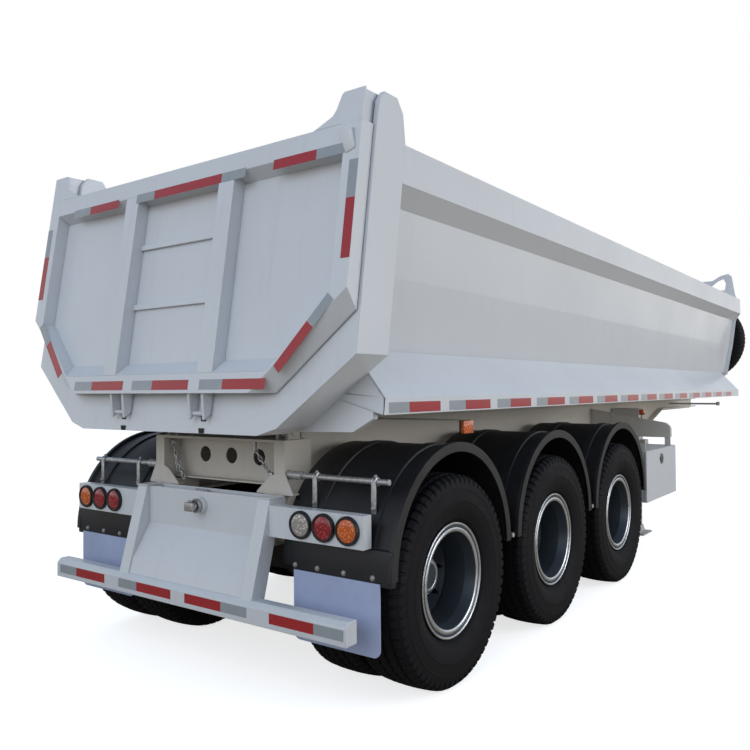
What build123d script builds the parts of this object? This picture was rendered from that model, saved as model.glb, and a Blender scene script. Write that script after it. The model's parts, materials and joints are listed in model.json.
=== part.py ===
from build123d import *
import math
import os

# Three-axle rear-dump semi-trailer. Millimetres, +X forward, +Y to its left, +Z up.
# The origin is on the floor, under the middle of its length and width.

# --- overall ---
overall_length = 9100
overall_width = 2500
rear_overhang = 975
half_width = overall_width / 2
nose_x = overall_length / 2
rear_axle_x = rear_overhang - overall_length / 2

# --- running gear ---
axle_count = 3
axle_spacing = 1310
tyre_diameter = 1110
tyre_width = 315
tyre_bead_width = 236
dual_spacing = 350
rim_flange_diameter = 596
rim_barrel_diameter = 500
rim_wall = 8
stud_circle_diameter = 335
stud_count = 10
stud_diameter = 22
hub_diameter = 216
hub_cap_reach = 150
drum_diameter = 420
drum_length = 200
spindle_diameter = 100
pin_clearance = 0.3
axle_beam_size = 150
axle_beam_half_length = 610
axle_z = tyre_diameter / 2
dual_middle_y = half_width - tyre_width / 2 - dual_spacing / 2

# --- chassis ---
beam_y = 450
flange_width = 140
flange_thickness = 14
web_thickness = 10
chassis_top_z = 1400
chassis_low_z = 950
neck_low_z = 1275
beam_rear_x = rear_axle_x - 330
tail_rear_x = rear_axle_x - 540
neck_start_x = rear_axle_x + 5300
neck_end_x = rear_axle_x + 6450
cross_member_count = 9
cross_member_width = 70
cross_member_height = 95
kingpin_x = rear_axle_x + 7150
kingpin_diameter = 50.8
kingpin_collar_diameter = 73
kingpin_head_diameter = 71.4
kingpin_collar_length = 35
kingpin_neck_length = 35
kingpin_head_length = 14
skid_plate_length = 1300
skid_plate_thickness = 12

# --- suspension ---
spring_half_length = 405
end_hanger_reach = 450
spring_width = 90
leaf_thickness = 24
leaf_count = 3
spring_camber = 60
hanger_width = 110
hanger_length = 150

# --- landing legs ---
leg_x = rear_axle_x + 4750
leg_y = 690
leg_outer_size = 125
leg_inner_size = 100
leg_joint_z = 520
leg_top_z = 1330
leg_bracket_low_z = 980
leg_shaft_z = 880
foot_length = 300
foot_width = 240
foot_thickness = 16

# --- bed hinge and chassis tail ---
bed_hinge_x = rear_axle_x - 430
bed_hinge_z = 1340
bed_hinge_y = 450
hinge_pin_diameter = 60
hinge_lug_radius = 42
hinge_lug_width = 40
hinge_ear_width = 20
hinge_side_gap = 5
tail_beam_top_z = 1290
tail_beam_low_z = 1071
tail_beam_top_half = 525
tail_beam_low_half = 321
tail_hole_diameter = 62
tail_hole_spacing = 215
plate = 8

# --- bed ---
bed_rest_gap = 5
floor_low_z = 1552
floor_half = 790
knee_half = 1035
knee_z = 1745
waist_half = 1103
waist_z = 2108
shoulder_half = 1150
shoulder_z = 2440
rail_low_z = 2523
rail_top_z = 2710
rail_inner_half = 1150
wall = 8
rake = 0.155
rake_z = 2648
frame_depth = 235
frame_low_z = 1340
frame_low_half = 700
frame_corner_half = 821
frame_corner_z = 1376
frame_side_z = 1709
front_wall_x = rear_axle_x + 7476
front_flange = 45
headboard_z = 2985
horn_top_z = 3065
underframe_width = 100
skirt_lip_top_z = 1516
skirt_lip_low_z = 1437
skirt_root_half = 770
skirt_root_z = 1572
skirt_front_x = rear_axle_x + 7255
skirt_rear_x = rear_axle_x - 690
bearer_count = 10
bearer_width = 60
bearer_height = 90

# --- tailgate ---
gate_gap = 5
gate_thickness = 85
gate_half = 1235
gate_top_z = 2832
gate_side_z = 1915
gate_low_half = 811
gate_low_z = 1540
gate_edge = 95
gate_panel = 8
gate_skin = 6
frame_face_x = gate_gap + gate_thickness + rake * (rake_z - gate_low_z) - overall_length / 2
gate_post_y = 388
gate_post_width = 112
gate_pocket_top_z = 2649
gate_pocket_low_z = 1640
gate_ledge_z = 1700
gate_rung_z = (1985, 2330)
gate_rung_height = 55
gate_hinge_x = rear_axle_x - 600
gate_hinge_z = 2865
gate_pin_diameter = 50
horn_inner_y = 1112
horn_outer_y = 1217
ear_plate = 25
ear_gap = 6
ear_top_z = 2915
latch_y = 321
latch_half = 60
latch_plate = 18

# --- guards, lamps, bumper ---
guard_radius = 590
guard_centre_z = 668
guard_wall = 6
guard_inner_y = 560
guard_rib = 9
guard_rib_count = 5
guard_panel_low_z = 640
guard_panel_top_z = guard_centre_z + 140
guard_panel_depth = 15
guard_panel_face_x = rear_axle_x - guard_radius - 12
stay_z = 1112
stay_diameter = 44
flap_low_z = 340
flap_top_z = 655
flap_outer_y = 1190
flap_inner_y = 650
flap_thickness = 6
tail_face_x = rear_axle_x - 666
lamp_bar_top_z = 972
lamp_bar_low_z = 815
lamp_bar_outer_y = 1133
lamp_diameter = 138
lamp_depth = 22
lamp_z = 896
lamp_first_y = 754
lamp_pitch = 145
strut_outer_y = 535
strut_width = 82
strut_depth = 95
bumper_half = 1143
bumper_low_z = 412
bumper_top_z = 521
bumper_face_x = rear_axle_x - 812
bumper_depth = 82
bumper_bevel = 24
tow_boss_diameter = 90

# --- tool box ---
box_rear_x = rear_axle_x + 3270
box_front_x = rear_axle_x + 4210
box_low_z = 548
box_top_z = 995
box_depth = 460
box_door_thickness = 22
box_door_gap = 5

# --- front hoist ---
hoist_x = rear_axle_x + 7995
hoist_base_z = 1500
hoist_eye_z = 2950
hoist_radii = (95, 82, 69, 56, 43, 30)
hoist_wall = 8
hoist_low_z = 1428
hoist_top_z = 2840
hoist_step = 12
hoist_eye_radius = 42
hoist_plate_y = 66
hoist_plate_width = 16
bed_tip_deg = 42

# --- spare wheel ---
spare_y = -(half_width - tyre_diameter / 2)
spare_z = 2200
spare_gap = 30


def block(x0, x1, y0, y1, z0, z1):
    size = Box(abs(x1 - x0), abs(y1 - y0), abs(z1 - z0))
    return Pos((x0 + x1) / 2, (y0 + y1) / 2, (z0 + z1) / 2) * size


def side_plate(points, y0, y1):
    """A prism whose outline lies in X-Z, between two widths."""
    face = make_face(Polyline([(x, y0, z) for x, z in points], close=True).edges())
    return extrude(face, amount=y1 - y0, dir=(0, 1, 0))


def cross_plate(points, x0, x1):
    """A prism whose outline lies in Y-Z, between two lengths."""
    face = make_face(Polyline([(x0, y, z) for y, z in points], close=True).edges())
    return extrude(face, amount=x1 - x0, dir=(1, 0, 0))


def closed_face(points, x):
    return make_face(Polyline([(x, y, z) for y, z in points], close=True).edges())


def level_plate(points, z0, z1):
    face = make_face(Polyline([(x, y, z0) for x, y in points], close=True).edges())
    return extrude(face, amount=z1 - z0, dir=(0, 0, 1))


def bar_y(x, z, radius, y0, y1):
    return Pos(x, (y0 + y1) / 2, z) * Rot(90, 0, 0) * Cylinder(radius, abs(y1 - y0))


def bar_x(y, z, radius, x0, x1):
    return Pos((x0 + x1) / 2, y, z) * Rot(0, 90, 0) * Cylinder(radius, abs(x1 - x0))


def bar_z(x, y, radius, z0, z1):
    return Pos(x, y, (z0 + z1) / 2) * Cylinder(radius, abs(z1 - z0))


def both(shape):
    return shape + mirror(shape, Plane.XZ)


def ribbon(points, thickness):
    """The outline of a bent strip: a path, and the same path set off to its left, mitred."""
    moved = []
    for i, (a, b) in enumerate(points):
        before = points[max(i - 1, 0)]
        after = points[min(i + 1, len(points) - 1)]
        first = Vector(a - before[0], b - before[1], 0)
        last = Vector(after[0] - a, after[1] - b, 0)
        if i == 0:
            first = last
        if i == len(points) - 1:
            last = first
        n1 = Vector(-first.Y, first.X, 0).normalized()
        n2 = Vector(-last.Y, last.X, 0).normalized()
        middle = (n1 + n2).normalized()
        reach = thickness / middle.dot(n1)
        moved.append((a + middle.X * reach, b + middle.Y * reach))
    return list(points) + moved[::-1]


def mirrored(points):
    """A right-hand half outline closed by its mirror image across Y = 0."""
    return list(points) + [(-y, z) for y, z in reversed(points)]


def axle_xs():
    return [rear_axle_x + i * axle_spacing for i in range(axle_count)]


def raked_x(z, offset=0):
    """Where the raked rear face of the bed is at a height, set forward by an offset."""
    return frame_face_x - rake * (rake_z - z) + offset


def raked_slab(offset0, offset1):
    """Everything between two planes parallel to the raked rear face."""
    low, high = frame_low_z - 200, horn_top_z + 200
    corners = [(raked_x(low, offset0), low), (raked_x(high, offset0), high),
               (raked_x(high, offset1), high), (raked_x(low, offset1), low)]
    return side_plate(corners, -half_width - 100, half_width + 100)


# --- wheels ---

def tyre(middle_y):
    """One tyre about the Y axis, its sidewalls bulged and its tread slightly crowned."""
    outer = tyre_diameter / 2
    bead = rim_flange_diameter / 2 - 40
    bead_half = tyre_bead_width / 2 - rim_wall - 1
    half = tyre_width / 2
    tread_half = half - 36
    bulge = (0, half, (outer + bead) / 2 + 10)
    edge = (0, tread_half, outer - 7)
    shoulder = (0, half - 12, outer - 26)
    lip = (0, bead_half, rim_flange_diameter / 2 + 3)
    side = Line(edge, shoulder).edges()
    side += TangentArc(bulge, shoulder, tangent=(0, 0, 1)).edges()
    side += TangentArc(bulge, lip, tangent=(0, 0, -1)).edges()
    side += Line(lip, (0, bead_half, bead)).edges()
    crown = ThreePointArc((0, -tread_half, outer - 7), (0, 0, outer), edge)
    foot = Line((0, bead_half, bead), (0, -bead_half, bead))
    other = ShapeList(mirror(e, Plane.XZ) for e in side)
    section = make_face(crown.edges() + side + foot.edges() + other)
    return Pos(0, middle_y, 0) * revolve(section, axis=Axis.Y)


def rim(middle_y, disc_side):
    """One disc wheel. Its disc lies towards disc_side, on the joint plane of the pair."""
    flange = rim_flange_diameter / 2
    barrel = rim_barrel_diameter / 2
    half = tyre_bead_width / 2
    inner = barrel - rim_wall
    profile = [(-half, flange), (-half + rim_wall, flange), (-half + rim_wall, barrel + 8),
               (-half + 60, barrel), (half - 60, barrel), (half - rim_wall, barrel + 8),
               (half - rim_wall, flange), (half, flange), (half, barrel),
               (half - 60, inner - 8), (-half + 60, inner - 8), (-half, barrel)]
    face = make_face(Polyline([(0, y, z) for y, z in profile], close=True).edges())
    shell = revolve(face, axis=Axis.Y)
    plane_y = disc_side * dual_spacing / 2
    meet_y = disc_side * (half - 40)
    hub_r = hub_diameter / 2
    flat_r = stud_circle_diameter / 2 + 30
    step = -disc_side * (rim_wall + 4)
    disc_path = [(plane_y, hub_r), (plane_y, flat_r), (meet_y, inner - 2),
                 (meet_y + step, inner - 2), (plane_y + step, flat_r), (plane_y + step, hub_r)]
    disc_face = make_face(Polyline([(0, y, z) for y, z in disc_path], close=True).edges())
    disc = revolve(disc_face, axis=Axis.Y)
    hand_holes = PolarLocations(flat_r + 22, stud_count)
    cutter = Plane.XZ * hand_holes * Cylinder(13, dual_spacing * 2)
    return Pos(0, middle_y, 0) * (shell + disc - cutter)


def wheel_pair():
    """Two rims back to back with hub and drum, as if the axle's end were at the origin, outer side +Y."""
    outer = rim(dual_spacing / 2, -1)
    inner = rim(-dual_spacing / 2, 1)
    hub_r = hub_diameter / 2
    hub = bar_y(0, 0, hub_r, -60, hub_cap_reach - 30)
    cap = bar_y(0, 0, hub_r - 22, hub_cap_reach - 30, hub_cap_reach)
    flange = bar_y(0, 0, stud_circle_diameter / 2 + 24, -40, -12)
    drum = bar_y(0, 0, drum_diameter / 2, -drum_length - 40, -40)
    drum_inside = bar_y(0, 0, drum_diameter / 2 - 16, -drum_length - 41, -60)
    bore = bar_y(0, 0, spindle_diameter / 2 + pin_clearance, -300, hub_cap_reach - 40)
    studs = Plane.XZ * PolarLocations(stud_circle_diameter / 2, stud_count) * Cylinder(stud_diameter / 2, 80)
    metal = outer + inner + hub + cap + flange + (drum - drum_inside) + studs
    return metal - bore


def wheels():
    tyres = tyre(dual_spacing / 2) + tyre(-dual_spacing / 2)
    metal = wheel_pair()
    made = {}
    for i, x in enumerate(axle_xs()):
        place = Pos(x, dual_middle_y, axle_z)
        number = axle_count - i
        made[f"tyres_left_{number}"] = place * tyres
        made[f"rims_left_{number}"] = place * metal
        made[f"tyres_right_{number}"] = mirror(place * tyres, Plane.XZ)
        made[f"rims_right_{number}"] = mirror(place * metal, Plane.XZ)
    return made


def axles():
    half = axle_beam_size / 2
    total = None
    for x in axle_xs():
        beam = block(x - half, x + half, -axle_beam_half_length, axle_beam_half_length,
                     axle_z - half, axle_z + half)
        spindle_end = dual_middle_y + hub_cap_reach - 60
        spindle = bar_y(x, axle_z, spindle_diameter / 2, axle_beam_half_length, spindle_end)
        chamber = bar_x(320, axle_z + 20, 80, x - half - 150, x - half)
        camshaft = bar_y(x - half - 40, axle_z, 20, 320, axle_beam_half_length + 6)
        backing = bar_y(x, axle_z, drum_diameter / 2 - 24, axle_beam_half_length, axle_beam_half_length + 12)
        one = beam + both(spindle + chamber + camshaft + backing)
        total = one if total is None else total + one
    return total


# --- suspension ---

def leaf_springs():
    """Over-slung leaves on each axle, joined to it by a seat block and a U-bolt plate."""
    seat_z = axle_z + axle_beam_size / 2
    pack = seat_z + leaf_count * leaf_thickness
    total = None
    for x in axle_xs():
        one = None
        for i in range(leaf_count):
            reach = spring_half_length * (1 - 0.26 * (leaf_count - 1 - i))
            rise = spring_camber * (reach / spring_half_length) ** 2
            low = seat_z + i * leaf_thickness
            lower = ThreePointArc((x - reach, 0, low + rise), (x, 0, low), (x + reach, 0, low + rise))
            upper = ThreePointArc((x - reach, 0, low + rise + leaf_thickness), (x, 0, low + leaf_thickness),
                                  (x + reach, 0, low + rise + leaf_thickness))
            ends = [Line(lower @ 1, upper @ 1), Line(lower @ 0, upper @ 0)]
            edges = lower.edges() + upper.edges() + ends[0].edges() + ends[1].edges()
            leaf = extrude(make_face(edges), amount=spring_width / 2, both=True)
            one = leaf if one is None else one + leaf
        clamp = block(x - 75, x + 75, -spring_width / 2 - 15, spring_width / 2 + 15, pack - 10, pack + 30)
        one = Pos(0, beam_y, 0) * (one + clamp)
        pair = both(one)
        total = pair if total is None else total + pair
    return total


def spring_hangers():
    """Brackets under the beams: one at each end and a rocker between neighbouring axles."""
    eye_z = axle_z + axle_beam_size / 2 + spring_camber + leaf_count * leaf_thickness
    xs = axle_xs()
    total = None
    spots = [(xs[0] - end_hanger_reach, False), (xs[-1] + end_hanger_reach, False)]
    spots += [(x + axle_spacing / 2, True) for x in xs[:-1]]
    for x, rocker in spots:
        half = hanger_length / 2
        foot = half * 0.6
        low = eye_z - 40
        web = [(x - half, chassis_low_z), (x - foot, low), (x + foot, low), (x + half, chassis_low_z)]
        outer = side_plate(web, beam_y + hanger_width / 2 - 10, beam_y + hanger_width / 2)
        inner = side_plate(web, beam_y - hanger_width / 2, beam_y - hanger_width / 2 + 10)
        pin = bar_y(x, eye_z, 22, beam_y - hanger_width / 2, beam_y + hanger_width / 2)
        one = outer + inner + pin
        if rocker:
            span = axle_spacing / 2 - spring_half_length + 60
            arm = [(x - span, eye_z + 12), (x - span, eye_z + 34), (x, eye_z + 70),
                   (x + span, eye_z + 34), (x + span, eye_z + 12), (x, eye_z - 26)]
            one += side_plate(arm, beam_y - 34, beam_y + 34)
        else:
            one += block(x - foot, x + foot, beam_y - 34, beam_y + 34, eye_z + 12, eye_z + 40)
        pair = both(one)
        total = pair if total is None else total + pair
    return total


# --- chassis ---

def beam_low_path():
    return [(beam_rear_x, chassis_low_z), (neck_start_x, chassis_low_z),
            (neck_end_x, neck_low_z), (nose_x, neck_low_z)]


def main_beams():
    """Two I-beams, deep behind and cut up to a shallow neck over the coupling."""
    low = beam_low_path()
    web = low + [(nose_x, chassis_top_z), (beam_rear_x, chassis_top_z)]
    beam = side_plate(web, beam_y - web_thickness / 2, beam_y + web_thickness / 2)
    y0, y1 = beam_y - flange_width / 2, beam_y + flange_width / 2
    beam += side_plate(ribbon(low, flange_thickness), y0, y1)
    beam += block(beam_rear_x, nose_x, y0, y1, chassis_top_z - flange_thickness, chassis_top_z)
    return both(beam)


def cross_members():
    first = beam_rear_x + 500
    last = hoist_x - 420
    pitch = (last - first) / (cross_member_count - 1)
    high = chassis_top_z - flange_thickness
    reach = beam_y - web_thickness / 2
    total = None
    for i in range(cross_member_count):
        x = first + i * pitch
        tube = block(x, x + cross_member_width, -reach, reach, high - cross_member_height, high)
        total = tube if total is None else total + tube
    nose = block(nose_x - plate, nose_x, -reach, reach, neck_low_z + flange_thickness, high)
    return total + nose


def skid_plate():
    """The coupling plate under the neck with its kingpin."""
    x1 = kingpin_x + skid_plate_length / 2
    x0 = kingpin_x - skid_plate_length / 2
    low = neck_low_z - skid_plate_thickness
    reach = beam_y + flange_width / 2
    body = block(x0, x1, -reach, reach, low, neck_low_z)
    collar_low = low - kingpin_collar_length
    neck_low = collar_low - kingpin_neck_length
    body += bar_z(kingpin_x, 0, kingpin_collar_diameter / 2, collar_low, low)
    body += bar_z(kingpin_x, 0, kingpin_diameter / 2, neck_low, collar_low)
    body += bar_z(kingpin_x, 0, kingpin_head_diameter / 2, neck_low - kingpin_head_length, neck_low)
    return body


def landing_legs():
    half = leg_outer_size / 2
    inner = leg_inner_size / 2
    tube = block(leg_x - half, leg_x + half, leg_y - half, leg_y + half, leg_joint_z, leg_top_z)
    leg = block(leg_x - inner, leg_x + inner, leg_y - inner, leg_y + inner, 60, leg_joint_z)
    foot = block(leg_x - foot_length / 2, leg_x + foot_length / 2, leg_y - foot_width / 2,
                 leg_y + foot_width / 2, 0, foot_thickness)
    shoe = side_plate([(leg_x - 110, foot_thickness), (leg_x - 50, 90), (leg_x + 50, 90),
                       (leg_x + 110, foot_thickness)], leg_y - 60, leg_y + 60)
    one = tube + leg + foot + shoe
    for side in (-1, 1):
        near, far = leg_x + side * half, leg_x + side * (half + plate)
        one += block(near, far, beam_y + web_thickness / 2, leg_y + half, leg_bracket_low_z, leg_top_z)
    one += block(leg_x - half, leg_x + half, beam_y + web_thickness / 2, leg_y - half,
                 leg_bracket_low_z, leg_bracket_low_z + plate)
    gearbox = block(leg_x - 60, leg_x + 60, -leg_y - half - 60, -leg_y - half, leg_shaft_z - 70, leg_shaft_z + 120)
    crank = bar_y(leg_x, leg_shaft_z, 14, -leg_y - half - 120, -leg_y - half - 60)
    return both(one) + gearbox + crank


def leg_shaft():
    reach = leg_y - leg_outer_size / 2
    return bar_y(leg_x, leg_shaft_z, 22, -reach, reach)


def air_tanks():
    radius = 130
    z = chassis_top_z - flange_thickness - cross_member_height - radius - 8
    first = beam_rear_x + 500
    pitch = (hoist_x - 420 - first) / (cross_member_count - 1)
    x0 = first + 3 * pitch - 120
    x1 = first + 4 * pitch + 190
    total = None
    for y in (-190, 190):
        tank = bar_x(y, z, radius, x0 + 30, x1 - 30)
        tank += bar_x(y, z, radius - 40, x0, x1)
        for i in (3, 4):
            x = first + i * pitch + cross_member_width / 2
            tank += block(x - 20, x + 20, y - 20, y + 20, z, chassis_top_z - flange_thickness - cross_member_height)
            tank += bar_x(y, z, radius + 5, x - 20, x + 20)
        total = tank if total is None else total + tank
    return total


def tail_beam():
    """The box across the chassis tail, with its round holes and the ears of the bed hinge."""
    x0 = tail_rear_x
    x1 = beam_rear_x
    outline = mirrored([(tail_beam_top_half, tail_beam_top_z), (tail_beam_top_half, tail_beam_top_z - 60),
                        (tail_beam_low_half, tail_beam_low_z)])
    solid = cross_plate(outline, x0, x1)
    inside = mirrored([(tail_beam_top_half - 20, tail_beam_top_z - plate),
                       (tail_beam_top_half - 20, tail_beam_top_z - 58),
                       (tail_beam_low_half - 8, tail_beam_low_z + plate)])
    beam = solid - cross_plate(inside, x0 + plate, x1 - plate)
    z = (tail_beam_top_z + tail_beam_low_z) / 2
    for i in (-1, 0, 1):
        beam -= bar_x(i * tail_hole_spacing, z, tail_hole_diameter / 2, x0 - 1, x0 + plate + 1)
    beam += both(block(x0, x1, beam_y - flange_width / 2, beam_y + flange_width / 2,
                       chassis_low_z, tail_beam_low_z + 110))
    inner = bed_hinge_y - hinge_lug_width / 2 - hinge_side_gap
    outer = bed_hinge_y + hinge_lug_width / 2 + hinge_side_gap
    for a, b in ((inner - hinge_ear_width, inner), (outer, outer + hinge_ear_width)):
        foot = block(bed_hinge_x - 50, bed_hinge_x + 50, a, b, tail_beam_top_z, bed_hinge_z)
        head = bar_y(bed_hinge_x, bed_hinge_z, hinge_lug_radius, a, b)
        beam += both(foot + head - block(bed_hinge_x - 60, bed_hinge_x - 42, a, b, bed_hinge_z - 8, 1400))
    pin = bar_y(bed_hinge_x, bed_hinge_z, hinge_pin_diameter / 2, inner - hinge_ear_width - 8,
                outer + hinge_ear_width + 8)
    return beam + both(pin)


def hoist_cradle():
    """Two ears on the neck that carry the hoist's trunnions."""
    y0 = hoist_radii[0] + 20
    low = neck_low_z + flange_thickness
    cheek = side_plate([(hoist_x - 90, low), (hoist_x - 60, hoist_base_z + 45), (hoist_x + 40, hoist_base_z + 45),
                        (hoist_x + 60, low)], y0, y0 + 22)
    hole = bar_y(hoist_x, hoist_base_z, 30 + pin_clearance, y0 - 1, y0 + 23)
    reach = beam_y - web_thickness / 2
    tie = block(hoist_x - 90, hoist_x - 60, y0, reach, low, low + 80)
    return both(cheek - hole + tie)


# --- guards and tail ---

def mudguards():
    """One black arch over each pair of wheels, ribbed, with a raised outer lip."""
    y0, y1 = guard_inner_y, half_width
    pitch = (y1 - y0 - 60) / guard_rib_count
    top = [(y0, guard_radius)]
    for i in range(guard_rib_count):
        start = y0 + 30 + i * pitch
        top += [(start, guard_radius), (start + 12, guard_radius + guard_rib),
                (start + 40, guard_radius + guard_rib), (start + 52, guard_radius)]
    top += [(y1 - 34, guard_radius), (y1 - 26, guard_radius + 2 * guard_rib), (y1, guard_radius + 2 * guard_rib)]
    section = top + [(y1, guard_radius - guard_wall), (y0, guard_radius - guard_wall)]
    total = None
    for x in axle_xs():
        points = [(x + r, y, guard_centre_z) for y, r in section]
        face = make_face(Polyline(points, close=True).edges())
        arch = revolve(face, axis=Axis((x, 0, guard_centre_z), (0, -1, 0)), revolution_arc=180)
        total = arch if total is None else total + arch
    panel = block(guard_panel_face_x, guard_panel_face_x + guard_panel_depth, flap_inner_y - 20, flap_outer_y,
                  guard_panel_low_z, guard_panel_top_z)
    return both(total + panel)


def guard_stays():
    """Bright tubes that carry the guards, with sockets and clamps."""
    radius = stay_diameter / 2
    rear = rear_axle_x - 508
    total = bar_y(rear, stay_z, radius, tail_beam_low_half + 100, 1172)
    total += bar_y(rear, stay_z, radius + 10, tail_beam_top_half - 30, 640)
    for y in (700, 1140):
        total += block(rear - 30, rear + 12, y - 14, y + 14, stay_z - 70, stay_z + 26)
    xs = axle_xs()
    spots = [x + axle_spacing / 2 for x in xs[:-1]] + [xs[-1] + guard_radius + 26]
    low = guard_centre_z + 20
    for x in spots:
        total += bar_y(x, low, radius - 6, beam_y + web_thickness / 2 + 55, half_width - 6)
        for y in (640, 1200):
            total += block(x - 70, x + 24, y - 12, y + 12, low - 22, low + 22)
    return both(total) - mudguards() - tail_beam()


def mudflaps():
    x = guard_panel_face_x
    outline = [(flap_inner_y, flap_top_z), (flap_outer_y, flap_top_z), (flap_outer_y, flap_low_z + 40),
               (flap_outer_y - 40, flap_low_z), (flap_inner_y + 40, flap_low_z), (flap_inner_y, flap_low_z + 40)]
    return both(cross_plate(outline, x - flap_thickness, x))


def strut_path():
    top = (tail_face_x + 6, 1000)
    foot = (bumper_face_x + 10, bumper_low_z + 60)
    return top, foot


def bumper_frame():
    """Two raked struts and the plate between them, hung from the chassis tail."""
    top, foot = strut_path()
    y1 = strut_outer_y
    y0 = y1 - strut_width
    side = [top, foot, (foot[0] + strut_depth, foot[1]), (top[0] + strut_depth, top[1])]
    strut = side_plate(side, y0, y1)
    arm = block(top[0], tail_rear_x, y0, y1, chassis_low_z, top[1])
    total = both(strut + arm)
    path = [(top[0] + 20, top[1]), (top[0] + 20, 790), (foot[0] + 8, 600), (foot[0] + 8, bumper_low_z + 20)]
    total += side_plate(ribbon(path, plate), -y0, y0)
    total += block(top[0] + 20, tail_rear_x, -y0, y0, top[1] - plate, top[1])
    boss = bar_x(0, 925, tow_boss_diameter / 2, top[0] - 8, top[0] + 22)
    return total + boss - bumper_solid()


def bumper_solid():
    x0 = bumper_face_x
    x1 = x0 + bumper_depth
    outline = [(x0, bumper_low_z), (x0, bumper_top_z - bumper_bevel), (x0 + bumper_bevel, bumper_top_z),
               (x1, bumper_top_z), (x1, bumper_low_z)]
    return side_plate(outline, -bumper_half, bumper_half)


def bumper_beam():
    x0 = bumper_face_x
    x1 = x0 + bumper_depth
    top = bumper_top_z - bumper_bevel
    beam = bumper_solid()
    hollow = [(x0 + plate, bumper_low_z + plate), (x0 + plate, top - 3), (x0 + bumper_bevel + 3, bumper_top_z - plate),
              (x1 - plate, bumper_top_z - plate), (x1 - plate, bumper_low_z + plate)]
    beam -= side_plate(hollow, -bumper_half + plate, bumper_half - plate)
    corner = level_plate([(x0 - 1, bumper_half - bumper_bevel), (x0 - 1, bumper_half + 1),
                          (x0 + bumper_bevel, bumper_half + 1)], bumper_low_z - 1, bumper_top_z + 1)
    return beam - both(corner)


def lamp_bars():
    x0 = tail_face_x
    bar = block(x0, x0 + 62, strut_outer_y, lamp_bar_outer_y, lamp_bar_low_z, lamp_bar_top_z)
    bar -= block(x0 + plate, x0 + 63, strut_outer_y + plate, lamp_bar_outer_y - plate,
                 lamp_bar_low_z + plate, lamp_bar_top_z - plate)
    return both(bar)


def lamps():
    total = None
    for i in range(3):
        lamp = bar_x(lamp_first_y + i * lamp_pitch, lamp_z, lamp_diameter / 2, tail_face_x - lamp_depth, tail_face_x)
        total = lamp if total is None else total + lamp
    return both(total)


def side_markers():
    y = half_width - 40
    total = None
    for x in (rear_axle_x + 190, rear_axle_x + 3090):
        lamp = block(x - 55, x + 55, y - 30, y, 1330, 1385)
        arm = block(x - 12, x + 12, beam_y + flange_width / 2, y - 30, 1372, 1380)
        total = lamp + arm if total is None else total + lamp + arm
    return both(total)


# --- tool box, on the right side only ---

def tool_box():
    y0 = -half_width + box_door_thickness + box_door_gap
    y1 = -half_width + box_depth
    body = block(box_rear_x, box_front_x, y0, y1, box_low_z, box_top_z)
    body -= block(box_rear_x + 5, box_front_x - 5, y0 - 1, y1 - 5, box_low_z + 5, box_top_z - 5)
    for x in (box_rear_x + 180, box_front_x - 240):
        body += block(x, x + 60, y1, -beam_y - flange_width / 2, box_top_z - 60, box_top_z)
        body += block(x, x + 60, -beam_y - flange_width / 2 - 20, -beam_y - web_thickness / 2, 964, box_top_z)
    return body


def tool_box_door():
    y0 = -half_width
    y1 = y0 + box_door_thickness
    edge = 4
    door = block(box_rear_x, box_front_x, y0 + edge, y1, box_low_z, box_top_z)
    middle = (box_rear_x + box_front_x) / 2
    latch = block(middle - 60, middle + 60, y0, y0 + edge + 1, box_top_z - 130, box_top_z - 60)
    return door + latch


# --- bed ---

def wall_path():
    return [(floor_half, floor_low_z), (knee_half, knee_z), (waist_half, waist_z),
            (shoulder_half, shoulder_z), (shoulder_half, rail_top_z)]


def bed_side():
    """One side wall, bent lengthwise, drawn on the left."""
    sheet = cross_plate(ribbon(wall_path(), wall), frame_face_x - 400, front_wall_x - wall)
    return sheet & raked_slab(0, overall_length)


def bed_floor():
    y = floor_half + 4
    sheet = cross_plate([(-y, floor_low_z + wall), (-y + 4, floor_low_z), (y - 4, floor_low_z), (y, floor_low_z + wall)],
                        frame_face_x - 400, front_wall_x - wall)
    sheet -= both(bed_side_keepout())
    return sheet & raked_slab(0, overall_length)


def bed_side_keepout():
    return cross_plate(ribbon(wall_path(), wall), frame_face_x - 500, front_wall_x)


def rail_outline(inset=0):
    return [(shoulder_half + inset, shoulder_z + 1.9 * inset), (half_width - inset, rail_low_z + 0.4 * inset),
            (half_width - inset, rail_top_z - inset), (shoulder_half + inset, rail_top_z - inset)]


def top_rails():
    x0, x1 = frame_face_x - 300, front_wall_x - wall
    rail = cross_plate(rail_outline(), x0, x1) - cross_plate(rail_outline(6), x0, x1 - 6)
    rail = rail & raked_slab(frame_depth, overall_length)
    return both(rail)


def frame_outline():
    return [(half_width, rail_top_z), (half_width, frame_side_z), (frame_corner_half, frame_corner_z),
            (frame_low_half, frame_low_z)]


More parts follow.
